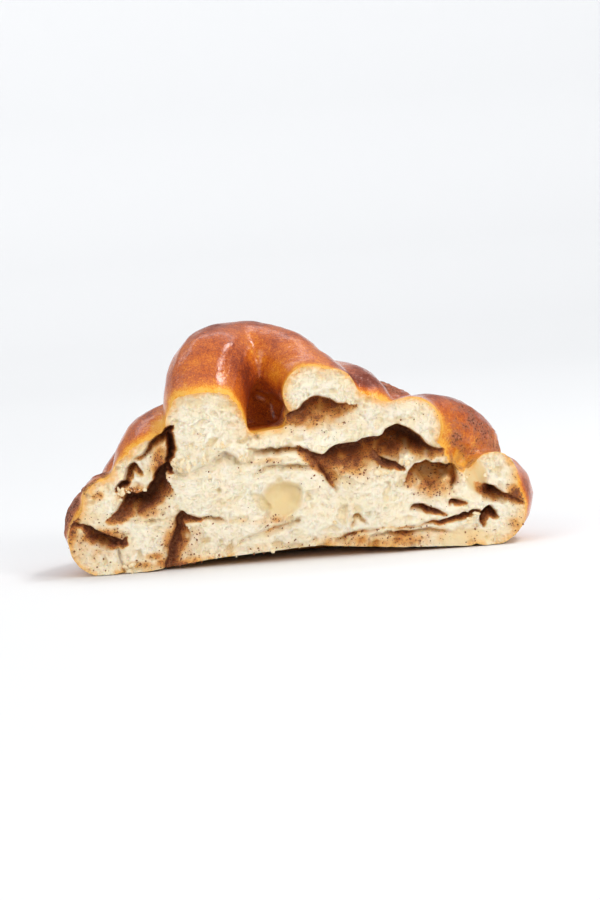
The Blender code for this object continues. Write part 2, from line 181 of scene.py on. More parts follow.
# The soft middle that the ropes have baked into: centre (x, depth, z) and half-sizes.
CORES = [
    ((0, 12, 5.5), (51, 36, 13)),
    ((0, 10, 14), (50, 32, 12)),
    ((2, 10, 22), (40, 28, 12)),
    ((-8, 16, 22), (28, 20, 12)),
    ((16, 28, 18), (24, 18, 12)),
]

# The base arches up a little along the cut: (x, height).
BASE_ARCH = [(-60, 0), (-38, 0), (-30, 1), (-20, 2), (5, 3.2), (15, 2.1), (28, 1), (46, 0), (60, 0)]
ARCH_REACH = 24.0

# Seams and hollows of the torn face: how much cinnamon lies in each, and its stops (x, z, width, depth).
# The hollow lies on the right-hand side of the line as it is walked.
SEAMS = {
    "big_hollow": (1.15, [
        (4, 27.2, 3, 2.5), (8, 25.4, 5, 7), (12, 27.4, 7.5, 9), (18, 28.6, 8, 10.5), (22.5, 29, 8.5, 12),
        (25, 31, 10, 14), (27.5, 31.3, 9, 15), (30.4, 30.4, 8, 15), (32.8, 27.8, 6.5, 13), (35, 25.6, 4, 8),
        (38, 25.2, 1.6, 2.4),
    ]),
    "flap_tail": (1.3, [(21.4, 25, 1.6, 3), (23.6, 23.2, 2.4, 6), (26, 21.8, 2, 5), (27.6, 20.8, 1, 2)]),
    "hollow_side": (0.8, [(10, 17.8, 3, 2), (8.2, 20, 4.5, 4), (6.8, 22.4, 4, 5), (7.4, 24.4, 2, 5)]),
    "loop_hollow": (0.8, [
        (-1, 36.6, 3, 3), (1.5, 36.9, 4.5, 5), (4, 38, 5.5, 6.5), (6, 39.7, 6, 7.5), (8.6, 40.3, 6.5, 8),
        (11, 39.4, 6, 7.5), (13, 38.2, 5, 6), (15.8, 37.8, 3, 3),
    ]),
    "shelf": (0.4, [
        (-10, 28.9, 1.6, 2), (-6, 28.1, 1.8, 4), (-3, 28.3, 1.6, 4.5), (1, 28, 1.4, 3), (6, 25.9, 1.4, 3),
    ]),
    "under_flap": (0.3, [
        (-9, 22.7, 1.2, 1), (-5, 24, 1.4, 1.8), (0, 23.8, 1.6, 2.4), (5, 23.2, 1.4, 2.4), (7.6, 22.6, 1.2, 2),
    ]),
    "torn_leg": (0.15, [
        (-29.4, 25.6, 1.5, 2), (-27, 24.2, 2, 2), (-24, 24.5, 2.5, 1.6), (-20.5, 26, 3, 2),
        (-17, 28.4, 3.5, 2.8), (-14, 27, 3, 2.5), (-12.2, 25, 2, 1.5), (-10.6, 27, 2, 1.8),
        (-10, 28.6, 1.5, 1.8),
    ]),
    "right_pocket": (0.55, [
        (28.3, 18, 3.5, 2.5), (29.8, 20.3, 6, 6.5), (31.6, 21.6, 7.5, 9), (34.5, 22, 8, 10.5),
        (38.5, 21, 7.5, 11), (40.8, 20.6, 5, 9), (41.3, 18.5, 4, 7), (40.8, 16, 3, 3.5),
    ]),
    "right_gap": (0.15, [
        (42.2, 20.8, 1.5, 2), (44.6, 20.4, 3, 4), (46, 18.4, 3.6, 4.5), (47.4, 15.6, 3, 4),
        (49.4, 14.4, 1.5, 3),
    ]),
    "right_lobes": (1.0, [
        (48, 14.8, 3.2, 5), (50, 14.6, 4.4, 9), (52.2, 12.6, 3, 7), (54, 11.4, 1.6, 3), (57, 10.2, 1, 2),
    ]),
    "right_notch": (0.9, [(46.7, 5.6, 1.5, 3), (47.4, 8.2, 2.4, 7), (48.8, 9.6, 2.8, 8), (50.4, 8, 1.8, 5)]),
    "right_slit": (1.0, [
        (29.4, 11.1, 1.2, 2), (31.6, 10.8, 1.9, 5), (34.4, 9.7, 1.5, 4), (37.4, 8.8, 0.9, 1.4),
    ]),
    "small_slit": (0.9, [(38.8, 11, 0.9, 1.5), (40.4, 11.9, 1.6, 4), (43.2, 11.2, 0.9, 2)]),
    "low_slit": (0.75, [
        (20, 6.4, 0.7, 0.7), (30, 6.5, 0.7, 0.9), (37, 7.2, 1.1, 3), (42, 8.1, 1.5, 5), (46.2, 8.9, 1, 3),
    ]),
    "base_slit": (0.42, [
        (17.8, 2.6, 0.8, 1.2), (18.8, 4, 0.9, 1.6), (22, 4.7, 1.1, 2.4), (26, 5, 1.3, 3), (30, 4.9, 1.2, 2.6),
        (36, 4.9, 1.2, 2), (41, 3.3, 0.8, 1),
    ]),
    "base_fold": (0.55, [(8, 3.4, 0.9, 1), (11, 4.3, 1.2, 1.6), (13.4, 5.5, 1.5, 2), (20, 6.2, 0.9, 1)]),
    "middle_fold": (0.4, [
        (-14.4, 5.4, 1.2, 1), (-10, 7.1, 2, 1.6), (-6, 8.6, 2.4, 2), (-2.5, 9, 2, 2), (0.6, 10, 1.2, 1.6),
    ]),
    "amber_slit": (0.35, [
        (-25, 12.4, 1, 1.6), (-20, 12.1, 1.3, 2.6), (-16.2, 11.1, 1, 1), (-9, 12.1, 0.6, 0.6),
    ]),
    "bubble": (0.0, [
        (-7.6, 11.4, 1.5, 1.5), (-6.2, 14, 3, 3), (-6.8, 16.4, 4, 3.6), (-5, 18.2, 5, 4.2),
        (-0.4, 18.4, 5.5, 4.6), (1.9, 17.4, 4, 4.6), (0.4, 14.8, 3.5, 5), (-1.8, 12, 2, 4),
    ]),
    "small_pocket": (0.35, [(13.8, 7.8, 1.2, 1.2), (15.2, 10.6, 1.8, 3), (17, 8.8, 1.4, 2)]),
    "tall_seam": (1.25, [
        (-33.4, 0.2, 4, 2.4), (-32.6, 3.4, 4.4, 3.2), (-31.8, 6, 4.6, 3.8), (-30.6, 9, 5.4, 4.6),
        (-30, 12, 5.4, 5.4), (-28.4, 14, 3.4, 5.4), (-26.4, 13, 2, 3.6), (-24, 12.2, 1, 1.6),
    ]),
    "left_hollow": (1.4, [
        (-45.6, 14.4, 3, 2), (-43.6, 16, 4.5, 5), (-42.3, 18.4, 6, 9), (-41.4, 19.6, 6.5, 11),
        (-39, 19.3, 6, 12), (-37, 20, 5.5, 11), (-35.8, 21.6, 6, 10), (-34.4, 23.6, 6.5, 10),
        (-33, 25, 6.5, 10), (-31, 26.6, 4, 9), (-29.6, 25.4, 1.5, 5),
    ]),
    "leg_gap": (1.1, [
        (-30.9, 27.2, 1.6, 7), (-30.4, 30, 2.3, 10), (-30.4, 32.4, 2.4, 11), (-31, 34.6, 2, 10),
    ]),
    "crust_fold": (0.6, [
        (-38.4, 28.4, 0.8, 1.5), (-36.6, 29.4, 1.3, 3.5), (-35.4, 31.4, 2, 5), (-33.8, 33.2, 2.4, 6.5),
        (-31.6, 35, 2.6, 9), (-29.6, 36.2, 1.5, 9),
    ]),
    "flap_pocket": (0.8, [
        (-41.6, 22.6, 1.8, 3), (-41.2, 25, 3, 5), (-39.9, 26.6, 3.4, 5.5), (-38.3, 26.7, 2.4, 4),
        (-37.6, 25, 1.4, 2),
    ]),
    "flap_notch": (1.0, [(-44, 21.3, 1, 3), (-42.8, 22.4, 2, 7), (-41.6, 22.4, 1.5, 6)]),
    "left_lobes": (1.4, [
        (-56, 13, 1, 1.5), (-53, 12.2, 1.6, 3), (-50.6, 10.8, 3.6, 7), (-48, 9.9, 3.8, 8.5),
        (-46, 9, 3.4, 6.5), (-44, 8, 2.4, 4), (-42.6, 9, 0.8, 1.2),
    ]),
    "base_lobes": (0.35, [(-43.6, 0.2, 0.8, 1.2), (-44.6, 2.8, 1.2, 1.8), (-45.2, 5.4, 1.2, 2.4)]),
    "ledge": (0.4, [(-43, 13.3, 0.8, 0.9), (-38, 12.7, 0.9, 1), (-31, 13.1, 0.7, 0.7)]),
}

# How wide a seam's lip is, how closely its line is sampled, and how wide and deep a seam is at least
LIP = 0.7
LINE_STEP = 0.6
LEAST_SEAM = 0.3

# Where the torn face stands proud (negative) or lies back (positive): centre (x, z), half-sizes, height.
SWELLS = [
    ((-20, 34), (11, 12), -2.6),
    ((-20, 51), (16, 7.5), -8.5),
    ((-9, 43), (3.6, 7), -3.0),
    ((7, 42), (9, 7), 0.6),
    ((10, 33), (16, 5), 1.2),
    ((-34, 28), (5, 8), 1.6),
    ((-52, 6), (9, 8), 0.8),
    ((51, 17), (8, 6), 0.6),
    ((52, 5), (8, 6), 1.0),
    ((-5, 20), (24, 5), -0.8),
    ((32, 33), (9, 6), -0.6),
    ((0, 3), (45, 4), 1.2),
]

# Thin layers and torn edges that stand proud of the face: height, half-width, and stops (x, z).
RIDGES = {
    "pocket_flap": (1.9, 1.4, [(26.4, 21), (28.6, 23.6), (32, 24.6), (37, 24.4), (42.4, 22.8), (44, 21.8)]),
    "shelf_layer": (0.9, 1.3, [(-9, 30), (-4, 30.2), (1, 29.8)]),
    "middle_layer": (1.0, 1.3, [(-9, 26), (-3, 26.6), (3, 25.8), (8.4, 24)]),
    "leg_hem": (1.1, 1.0, [
        (-29.4, 27.4), (-26, 26.4), (-21, 28), (-17, 30.2), (-13.6, 28.6), (-11.6, 26.6), (-10, 29.4),
    ]),
    "left_strip": (0.9, 1.3, [(-41, 20.6), (-38, 23.4), (-35.6, 26.4), (-33.6, 29.6)]),
    "bubble_fold": (1.3, 0.9, [(-1.4, 11.6), (0.6, 14.4), (2.8, 17.2), (6.4, 18)]),
    "bottom_layer": (0.7, 1.0, [(20, 5.4), (30, 7.4), (38, 9.4), (46, 11.6)]),
    "right_skin": (0.8, 1.2, [(43.6, 7), (46, 9.6), (46.8, 12.4), (45.4, 15.6)]),
}

# Smooth, moist skins inside air pockets: centre (x, z), half-sizes, strength.
SMOOTH_SKINS = [
    ((-3, 15.5), (5, 4.5), 1.0),
    ((46, 17.5), (2.6, 4), 1.0),
    ((42, 2), (7, 2.4), 0.8),
    ((-5, 32.6), (5, 0.8), 0.7),
]

# Cinnamon smeared over the torn face away from the seams: centre (x, z), half-sizes, strength.
SMEARS = [
    ((8, 35), (8, 3.5), 0.42),
    ((16, 21.6), (10, 3.5), 0.3),
    ((35.4, 17), (6.4, 4.4), 0.42),
    ((25, 4.2), (22, 2), 0.2),
    ((-8, 4), (14, 1.6), 0.14),
    ((-51, 9), (8, 8), 0.26),
    ((33, 33), (7, 4), 0.1),
    ((20, 2.8), (28, 3), 0.32),
    ((-37, 16), (6, 3), 0.4),
    ((-57, 15.5), (2.6, 6.5), 1.0),
    ((-30, 7), (3.4, 6), 0.55),
    ((-30, 1.5), (5.5, 2), 0.65),
    ((-40, 18.5), (4, 3), 0.7),
    ((-49, 9.5), (5, 2.2), 0.7),
    ((-33, 27), (3, 5), 0.45),
    ((-14, 11), (8, 0.8), 0.22),
    ((-50, 20), (3, 1.6), 0.5),
    ((-40, 1.6), (4, 1.4), 0.4),
    ((-36, 3.6), (3, 1.2), 0.35),
    ((-26, 8), (3, 4), 0.3),
    ((55.6, 12), (2.2, 2.6), 0.75),
    ((56.6, 18), (2.2, 4), 0.36),
    ((55.4, 6), (3, 5), 0.26),
    ((46, 3), (10, 3), 0.12),
    ((-6, 10.5), (7, 1.6), 0.25),
    ((-5, 25.6), (8, 1.2), 0.25),
]

# Cinnamon baked dark onto the crust, the first patch partly painted shade darkening the recess between the
# loop's legs: centre (x, depth, z), radius, strength.
CRUST_PATCHES = [
    ((-4, 7, 38), 6.5, 0.85),
    ((-56, 9, 16), 9, 1.0),
    ((-51, 6, 23), 7, 0.95),
    ((45.5, 8, 29), 9.5, 0.8),
    ((43, 2, 22.4), 4.5, 0.7),
    ((51, 15, 25), 7, 0.7),
    ((27, 20, 42), 7.5, 1.0),
    ((57, 5, 13), 4, 0.5),
    ((30, 46, 22), 9, 0.75),
    ((-36, 40, 21), 9, 0.75),
    ((4, 42, 36), 7, 0.7),
    ((-44, 28, 27), 6, 0.6),
    ((47, 30, 17), 6, 0.5),
]

# Loose crumb: centre (x, z), spread, how many bits.
SHREDS = [
    ((-28, 26.6), 1.8, 60),
    ((-20, 27.6), 3.0, 30),
    ((-12, 26.6), 1.4, 24),
    ((7.6, 24.2), 1.2, 26),
    ((23.6, 21.4), 1.3, 26),
    ((27.4, 22.6), 1.0, 14),
    ((15, 37.4), 0.8, 8),
    ((38, 25.4), 1.0, 10),
    ((-42.6, 20.4), 1.0, 12),
    ((-36, 21), 1.2, 10),
    ((49, 19.6), 2.0, 12),
    ((44, 7.6), 1.2, 14),
    ((-6, 1.6), 7.0, 40),
    ((-42, 1), 1.2, 14),
]

# Where the crust baked deeper, or stayed paler (negative), and in the first two, painted shade darkening the
# groove inside the loop: centre (x, depth, z), radius, amount.
BAKES_AND_GROOVE_SHADE = [
    ((-6, 9, 40), 7, 0.42),
    ((-10.5, 8, 47), 4.5, 0.3),
    ((-16, 8, 53), 5, -0.22),
    ((-13, 14, 56), 5, -0.25),
    ((-3, 8, 46), 3.6, -0.5),
    ((-2.2, 4, 39), 2.6, -0.3),
    ((17.5, 3, 43.6), 5, 0.85),
    ((-23, 4, 44), 6, 0.15),
    ((-5, 1.5, 34), 2, -0.6),
    ((18, 6, 37), 6, -0.3),
    ((-31, 6, 36), 5, -0.15),
    ((44, 5, 31), 6, -0.2),
    ((40, 2, 23), 4, 0.3),
    ((58, 4, 14), 6, 0.25),
]

# Pores of the crumb: how many are tried, smallest and largest radius, and the ranges of x and z they lie in
PORES = [(30, 0.9, 1.5), (650, 0.45, 0.85), (5200, 0.2, 0.45)]
PORE_RANGE = ((-60, 60), (0, 52))
DEEPEST_PORE = 1.5

# Rounds of easing that leave the skin of an air pocket smooth
SKIN_ROUNDS = 50

# Grains of cinnamon on the torn face: how many are tried, and within which ranges of x and z
SPECK_TRIES = 60000
SPECK_RANGE = ((-58, 58), (0.5, 46))

# Paste lies along the seams with at least this much cinnamon, where they are at least this deep
PASTE_AMOUNT = 0.45
PASTE_DEPTH = 1.2

# Loose crumb lies no deeper in a hollow than this
SHREDS_DEPTH = 1.2


def smoothstep(value):
    value = np.clip(value, 0.0, 1.0)
    return value * value * (3.0 - 2.0 * value)


def eased(field, rounds):
    """The field after each value has been drawn to its four neighbours' mean a number of times."""
    for _ in range(rounds):
        padded = np.pad(field, 1, mode="edge")
        field = (padded[:-2, 1:-1] + padded[2:, 1:-1] + padded[1:-1, :-2] + padded[1:-1, 2:]) / 4
    return field


def grain(points, size, seed):
    """Smooth unevenness between -1 and 1 with bumps about size across, at points of shape (n, 3)."""
    dice = np.random.default_rng(seed)
    table = dice.uniform(-1, 1, (32, 32, 32))
    turn = np.linalg.qr(dice.normal(size=(3, 3)))[0]
    scaled = points @ turn / size + 100.0
    cell = np.floor(scaled).astype(int)
    share = smoothstep(scaled - cell)
    total = np.zeros(len(points))
    for corner in itertools.product((0, 1), repeat=3):
        weight = np.prod(np.where(corner, share, 1 - share), axis=1)
        place = (cell + corner) % 32
        total += weight * table[place[:, 0], place[:, 1], place[:, 2]]
    return total * 1.4


def walked_line(stops):
    """A seam's stops joined by a smooth line and sampled closely: rows of x, z, width, depth."""
    stops = np.array(stops, float)
    padded = np.vstack([2 * stops[0] - stops[1], stops, 2 * stops[-1] - stops[-2]])
    rows = []
    for a, b, c, d in zip(padded, padded[1:], padded[2:], padded[3:]):
        count = max(2, round(np.hypot(*(c - b)[:2]) / LINE_STEP))
        t = np.linspace(0, 1, count, endpoint=False)[:, None]
        bend, twist = 2 * a - 5 * b + 4 * c - d, 3 * b - a - 3 * c + d
        rows.append(0.5 * (2 * b + (c - a) * t + bend * t**2 + twist * t**3))
    line = np.vstack(rows + [stops[-1:]])
    line[:, 2:] = np.maximum(line[:, 2:], LEAST_SEAM)
    spots = np.column_stack([line[:, 0], np.zeros(len(line)), line[:, 1]])
    line[:, 0] += 0.3 * grain(spots, 1.4, 3) + 0.35 * grain(spots, 4.0, 5)
    line[:, 1] += 0.3 * grain(spots, 1.4, 4) + 0.35 * grain(spots, 4.0, 6)
    return line


class TornFace:
    """The torn face as fields over a grid of x and z, such as its depth, cinnamon, smooth skin and pores."""

    def __init__(self):
        (self.x0, x1), (self.z0, z1) = FACE_RANGE
        self.columns = round((x1 - self.x0) / FACE_STEP) + 1
        self.rows = round((z1 - self.z0) / FACE_STEP) + 1
        self.x, self.z = np.meshgrid(
            self.x0 + FACE_STEP * np.arange(self.columns), self.z0 + FACE_STEP * np.arange(self.rows))
        spots = np.column_stack([self.x.ravel(), np.zeros(self.x.size), self.z.ravel()])
        self.noise = lambda size, seed: grain(spots, size, seed).reshape(self.x.shape)
        self.swell()
        self.tear_seams()
        self.spread_cinnamon()
        self.open_pores()
        self.roughen()

    def swell(self):
        """Lays out the broad swells and the thin layers that stand proud."""
        self.depth = np.zeros(self.x.shape)
        for (cx, cz), (rx, rz), height in SWELLS:
            self.depth += height * np.exp(-((self.x - cx) / rx) ** 2 - ((self.z - cz) / rz) ** 2)
        for height, width, stops in RIDGES.values():
            line = walked_line([(x, z, 1, 1) for x, z in stops])
            gap = np.min([np.hypot(self.x - x, self.z - z) for x, z in line[:, :2]], axis=0)
            self.depth -= height * np.exp(-(gap / width) ** 2)
        self.depth += 0.35 * self.noise(7.0, 11) + 0.2 * self.noise(3.2, 12)

    def window(self, low_x, high_x, low_z, high_z):
        """The part of the grid that covers these ranges, as slices of its rows and columns."""
        def span(low, high, start, count):
            first, last = int((low - start) / FACE_STEP), int((high - start) / FACE_STEP) + 2
            return slice(max(0, first), min(count, last))
        return span(low_z, high_z, self.z0, self.rows), span(low_x, high_x, self.x0, self.columns)

    def tear_seams(self):
        """Carves the seams, steep at the lip and easing out behind it, and notes the layers' direction."""
        carved = np.zeros(self.x.shape)
        shoulder = np.zeros(self.x.shape)
        self.cinnamon = np.zeros(self.x.shape)
        self.along = np.zeros(self.x.shape)
        closest = np.full(self.x.shape, np.inf)
        for amount, stops in SEAMS.values():
            line = walked_line(stops)
            room = line[:, 2].max() + 5.0
            here = self.window(line[:, 0].min() - room, line[:, 0].max() + room,
                               line[:, 1].min() - room, line[:, 1].max() + room)
            x, z = self.x[here], self.z[here]
            nearest = np.full(x.shape, np.inf)
            cut, spread, proud, heading = (np.zeros(x.shape) for _ in range(4))
            for (xa, za, wa, da), (xb, zb, wb, db) in zip(line, line[1:]):
                run_x, run_z = xb - xa, zb - za
                length = math.hypot(run_x, run_z) + 1e-9
                run_x, run_z = run_x / length, run_z / length
                share = np.clip(((x - xa) * run_x + (z - za) * run_z) / length, 0, 1)
                off_x, off_z = x - xa - share * (xb - xa), z - za - share * (zb - za)
                distance = np.hypot(off_x, off_z)
                inside = off_x * run_z - off_z * run_x >= 0
                width, depth = wa + share * (wb - wa), da + share * (db - da)
                slope = 0.5 + 0.5 * np.cos(np.pi * np.clip(distance / width, 0, 1))
                ease = np.where(inside, slope, 1 - smoothstep(distance / LIP))
                lining = 0.55 * (1 - smoothstep((distance / width - 0.45) / 0.7))
                lining += 0.45 * np.exp(-(distance / (0.1 * width + 0.35)) ** 2)
                stain = np.where(inside, lining, np.clip(1 - distance / (0.25 + 0.04 * depth), 0, 1))
                closer = distance < nearest
                nearest = np.where(closer, distance, nearest)
                cut = np.where(closer, depth * ease, cut)
                spread = np.where(closer, stain * np.clip(0.15 + depth / 3.5, 0, 1), spread)
                proud = np.where(closer, np.minimum(depth, 4) * 0.12 * np.exp(-distance / 1.4), proud)
                heading = np.where(closer, math.atan2(run_z, run_x), heading)
            carved[here] = np.maximum(carved[here], cut)
            self.cinnamon[here] = np.maximum(self.cinnamon[here], amount * spread)
            shoulder[here] = np.maximum(shoulder[here], proud)
            nearer = nearest < closest[here]
            self.along[here] = np.where(nearer, heading, self.along[here])
            closest[here] = np.minimum(closest[here], nearest)
        self.hollow = carved
        self.depth += carved + shoulder
        self.lip = np.exp(-(closest / 1.1) ** 2)

    def spread_cinnamon(self):
        """Smooths the skins of the air pockets and the hollows, and smears cinnamon away from the seams."""
        self.smooth = np.zeros(self.x.shape)
        for (cx, cz), (rx, rz), strength in SMOOTH_SKINS:
            reach = np.hypot((self.x - cx) / rx, (self.z - cz) / rz)
            self.smooth = np.maximum(self.smooth, strength * (1 - smoothstep((reach - 0.75) / 0.5)))
        self.depth += (eased(self.depth, SKIN_ROUNDS) - self.depth) * self.smooth
        self.smooth = np.maximum(self.smooth, smoothstep((self.hollow - 3.0) / 3.0) * 0.8)
        for (cx, cz), (rx, rz), strength in SMEARS:
            reach = ((self.x - cx) / rx) ** 2 + ((self.z - cz) / rz) ** 2
            self.cinnamon = np.maximum(self.cinnamon, strength * np.exp(-reach))
        patchy = 1 + 0.35 * self.noise(4.0, 18) + 0.3 * self.noise(1.5, 19)
        self.cinnamon = np.clip(self.cinnamon * patchy, 0, 1)

    def open_pores(self):
        """Irregular open cells, drawn out along the layers, fewer where the skin is smooth."""
        dice = np.random.default_rng(21)
        (low_x, high_x), (low_z, high_z) = PORE_RANGE
        self.pore = np.zeros(self.x.shape)
        wobble = 1 + 0.45 * self.noise(0.9, 13)
        openness = np.clip(0.65 + 0.6 * self.noise(9.0, 14), 0.15, 1.0) * (1 - 0.92 * self.smooth)
        for count, smallest, largest in PORES:
            for _ in range(count):
                cx, cz = dice.uniform(low_x, high_x), dice.uniform(low_z, high_z)
                radius = smallest + (largest - smallest) * dice.random() ** 2
                stretch, lean, deep = dice.uniform(1.0, 2.3), dice.normal(0, 0.35), dice.uniform(0.8, 1.7)
                chance = dice.random()
                row = min(self.rows - 1, max(0, round((cz - self.z0) / FACE_STEP)))
                column = min(self.columns - 1, max(0, round((cx - self.x0) / FACE_STEP)))
                if chance > openness[row, column]:
                    continue
                room = radius * stretch * 1.5
                here = self.window(cx - room, cx + room, cz - room, cz + room)
                angle = self.along[row, column] + lean
                u = (self.x[here] - cx) * math.cos(angle) + (self.z[here] - cz) * math.sin(angle)
                v = -(self.x[here] - cx) * math.sin(angle) + (self.z[here] - cz) * math.cos(angle)
                reach = ((u / (radius * stretch)) ** 2 + (v / radius) ** 2) * wobble[here]
                dent = min(radius * deep, DEEPEST_PORE) * np.sqrt(np.clip(1 - reach, 0, 1))
                self.pore[here] = np.maximum(self.pore[here], dent)
        self.depth += self.pore

    def roughen(self):
        """Fine torn crumb, and ragged edges where the layers have pulled apart."""
        rough = 1 - 0.8 * self.smooth
        self.depth += rough * (0.14 * self.noise(0.9, 15) + 0.07 * self.noise(0.5, 16))
        self.depth -= self.lip * rough * 0.7 * np.clip(self.noise(1.1, 17), 0, 1)

    def at(self, field, x, z):
        """A field's value at any points of the face."""
        across = np.clip((x - self.x0) / FACE_STEP, 0, self.columns - 1.001)
        up = np.clip((z - self.z0) / FACE_STEP, 0, self.rows - 1.001)
        c, r = across.astype(int), up.astype(int)
        s, t = across - c, up - r
        return ((field[r, c] * (1 - s) + field[r, c + 1] * s) * (1 - t)
                + (field[r + 1, c] * (1 - s) + field[r + 1, c + 1] * s) * t)


def new_object(name, mesh):
    made = bpy.data.objects.new(name, mesh)
    bpy.context.scene.collection.objects.link(made)
    return made


def mesh_of(name, shape):
    mesh = bpy.data.meshes.new(name)
    shape.to_mesh(mesh)
    shape.free()
    return mesh


def evaluated_copy(source):
    bpy.context.view_layer.update()
    graph = bpy.context.evaluated_depsgraph_get()
    return bpy.data.meshes.new_from_object(source.evaluated_get(graph), depsgraph=graph)


def apply_modifiers(item):
    mesh = evaluated_copy(item)
    item.modifiers.clear()
    item.data = mesh


def rope(name, stops):
    """One rope of dough: a bevelled curve, turned into a closed mesh."""
    curve = bpy.data.curves.new(name, "CURVE")
    curve.dimensions = "3D"
    curve.bevel_depth = MM
    curve.bevel_resolution = 6
    curve.resolution_u = 10
    curve.use_fill_caps = True
    spline = curve.splines.new("BEZIER")
    spline.bezier_points.add(len(stops) - 1)
    for point, (x, depth, z, radius) in zip(spline.bezier_points, stops):
        point.co = Vector((x, CUT_Y + depth, z)) * MM
        point.handle_left_type = point.handle_right_type = "AUTO"
        point.radius = radius
    drawn = new_object(name + "_curve", curve)
    shape = bmesh.new()
    shape.from_mesh(evaluated_copy(drawn))
    bpy.data.objects.remove(drawn)
    bmesh.ops.remove_doubles(shape, verts=shape.verts, dist=0.01 * MM)
    return mesh_of(name, shape)


def soft_core(name, centre, sizes):
    """A rounded block of dough inside the ropes."""
    shape = bmesh.new()
    bmesh.ops.create_uvsphere(shape, u_segments=48, v_segments=24, radius=1.0)
    shape.transform(Matrix.Diagonal((*(Vector(sizes) * MM), 1.0)))
    shape.transform(Matrix.Translation(Vector((centre[0], CUT_Y + centre[1], centre[2])) * MM))
    return mesh_of(name, shape)


def fused_dough():
    """The ropes and the soft middle baked into one body, with softened creases between them."""
    baked = bpy.data.collections.new("baked_together")
    bpy.context.scene.collection.children.link(baked)
    for name, stops in ROPES.items():
        baked.objects.link(bpy.data.objects.new(name, rope(name, stops)))
    for number, (centre, sizes) in enumerate(CORES[1:]):
        baked.objects.link(bpy.data.objects.new(f"core_{number}", soft_core(f"core_{number}", centre, sizes)))
    dough = new_object("bun_dough", soft_core("bun_dough", *CORES[0]))
    join = dough.modifiers.new("join", "BOOLEAN")
    join.operation = "UNION"
    join.solver = "MANIFOLD"
    join.operand_type = "COLLECTION"
    join.collection = baked
    fuse = dough.modifiers.new("fuse", "REMESH")
    fuse.mode = "VOXEL"
    fuse.voxel_size = CRUST_VOXEL * MM
    soften = dough.modifiers.new("soften", "SMOOTH")
    soften.factor = 0.5
    soften.iterations = CRUST_SMOOTHING
    apply_modifiers(dough)
    for item in list(baked.objects):
        bpy.data.objects.remove(item)
    bpy.data.collections.remove(baked)
    return dough


def points_of(mesh):
    flat = np.empty(len(mesh.vertices) * 3, np.float32)
    mesh.vertices.foreach_get("co", flat)
    return flat.reshape(-1, 3).astype(float) / MM


def move_points(mesh, points):
    mesh.vertices.foreach_set("co", (points * MM).astype(np.float32).ravel())
    mesh.update()


def normals_of(mesh):
    flat = np.empty(len(mesh.vertices) * 3, np.float32)
    mesh.vertices.foreach_get("normal", flat)
    return flat.reshape(-1, 3).astype(float)


def patch_strength(points):
    """How much dark cinnamon is baked onto the crust at each point, with painted shade in the recess between
    the loop's legs from the first patch.
    """
    strength = np.zeros(len(points))
    for (x, depth, z), radius, amount in CRUST_PATCHES:
        away = np.linalg.norm(points - np.array([x, CUT_Y + depth, z]), axis=1)
        strength = np.maximum(strength, amount * (1 - smoothstep((away / radius - 0.45) / 0.75)))
    return strength * np.clip(0.8 + 0.7 * grain(points, 3.0, 31) + 0.4 * grain(points, 1.4, 32), 0, 1)


def uneven_crust(dough):
    """The baked skin: faint waves all over, and crumbs of cinnamon where it is baked on."""
    mesh = dough.data
    points, normals = points_of(mesh), normals_of(mesh)
    lift = 0.22 * grain(points, 9.0, 33) + 0.1 * grain(points, 3.5, 34) + 0.03 * grain(points, 1.6, 35)
    lift += patch_strength(points) * (0.3 * grain(points, 1.8, 36) + 0.25 * grain(points, 1.0, 37))
    move_points(mesh, points + normals * lift[:, None])


def relief_block(name, columns, rows, spots, reach):
    """A closed block with one side pressed into a relief given by its spots, drawn out by reach."""
    shape = bmesh.new()
    bmesh.ops.create_grid(shape, x_segments=columns - 1, y_segments=rows - 1, size=0.5)
    for vert in shape.verts:
        row, column = round((vert.co.y + 0.5) * (rows - 1)), round((vert.co.x + 0.5) * (columns - 1))
        vert.co = spots[row, column] * MM
    drawn = bmesh.ops.extrude_face_region(shape, geom=shape.faces[:])["geom"]
    verts = [item for item in drawn if isinstance(item, bmesh.types.BMVert)]
    bmesh.ops.translate(shape, vec=Vector(reach) * MM, verts=verts)
    bmesh.ops.recalc_face_normals(shape, faces=shape.faces)
    return new_object(name, mesh_of(name, shape))


def arch_height(x, depth):
    """How high the base stands over the floor."""
    stops = np.array(BASE_ARCH)
    return np.interp(x, stops[:, 0], stops[:, 1]) * smoothstep(1 - depth / ARCH_REACH)


def subtract(item, cutter):
    cut = item.modifiers.new(cutter.name, "BOOLEAN")
    cut.operation = "DIFFERENCE"
    cut.solver = "MANIFOLD"
    cut.object = cutter


def cut_bun(dough, face):
    """Takes away all that lies in front of the torn face and below the base."""
    front = relief_block("front_block", face.columns, face.rows,
                         np.dstack([face.x, CUT_Y + face.depth, face.z]), (0, -RELIEF_REACH, 0))
    (x0, x1), (y0, y1) = BASE_RANGE
    columns, rows = round((x1 - x0) / BASE_STEP) + 1, round((y1 - y0) / BASE_STEP) + 1
    x, y = np.meshgrid(np.linspace(x0, x1, columns), np.linspace(y0, y1, rows))
    below = relief_block("base_block", columns, rows,
                         np.dstack([x, y, arch_height(x, y - CUT_Y)]), (0, 0, -RELIEF_REACH))
    subtract(dough, front)
    subtract(dough, below)
    apply_modifiers(dough)
    for cutter in (front, below):
        bpy.data.objects.remove(cutter)


def keep_largest_piece(item):
    shape = bmesh.new()
    shape.from_mesh(item.data)
    waiting = set(shape.verts)
    pieces = []
    while waiting:
        piece = [waiting.pop()]
        for vert in piece:
            linked = {link.other_vert(vert) for link in vert.link_edges} & waiting
            waiting -= linked
            piece.extend(linked)
        pieces.append(piece)
    pieces.sort(key=len)
    for piece in pieces[:-1]:
        bmesh.ops.delete(shape, geom=piece, context="VERTS")
    shape.to_mesh(item.data)
    shape.free()


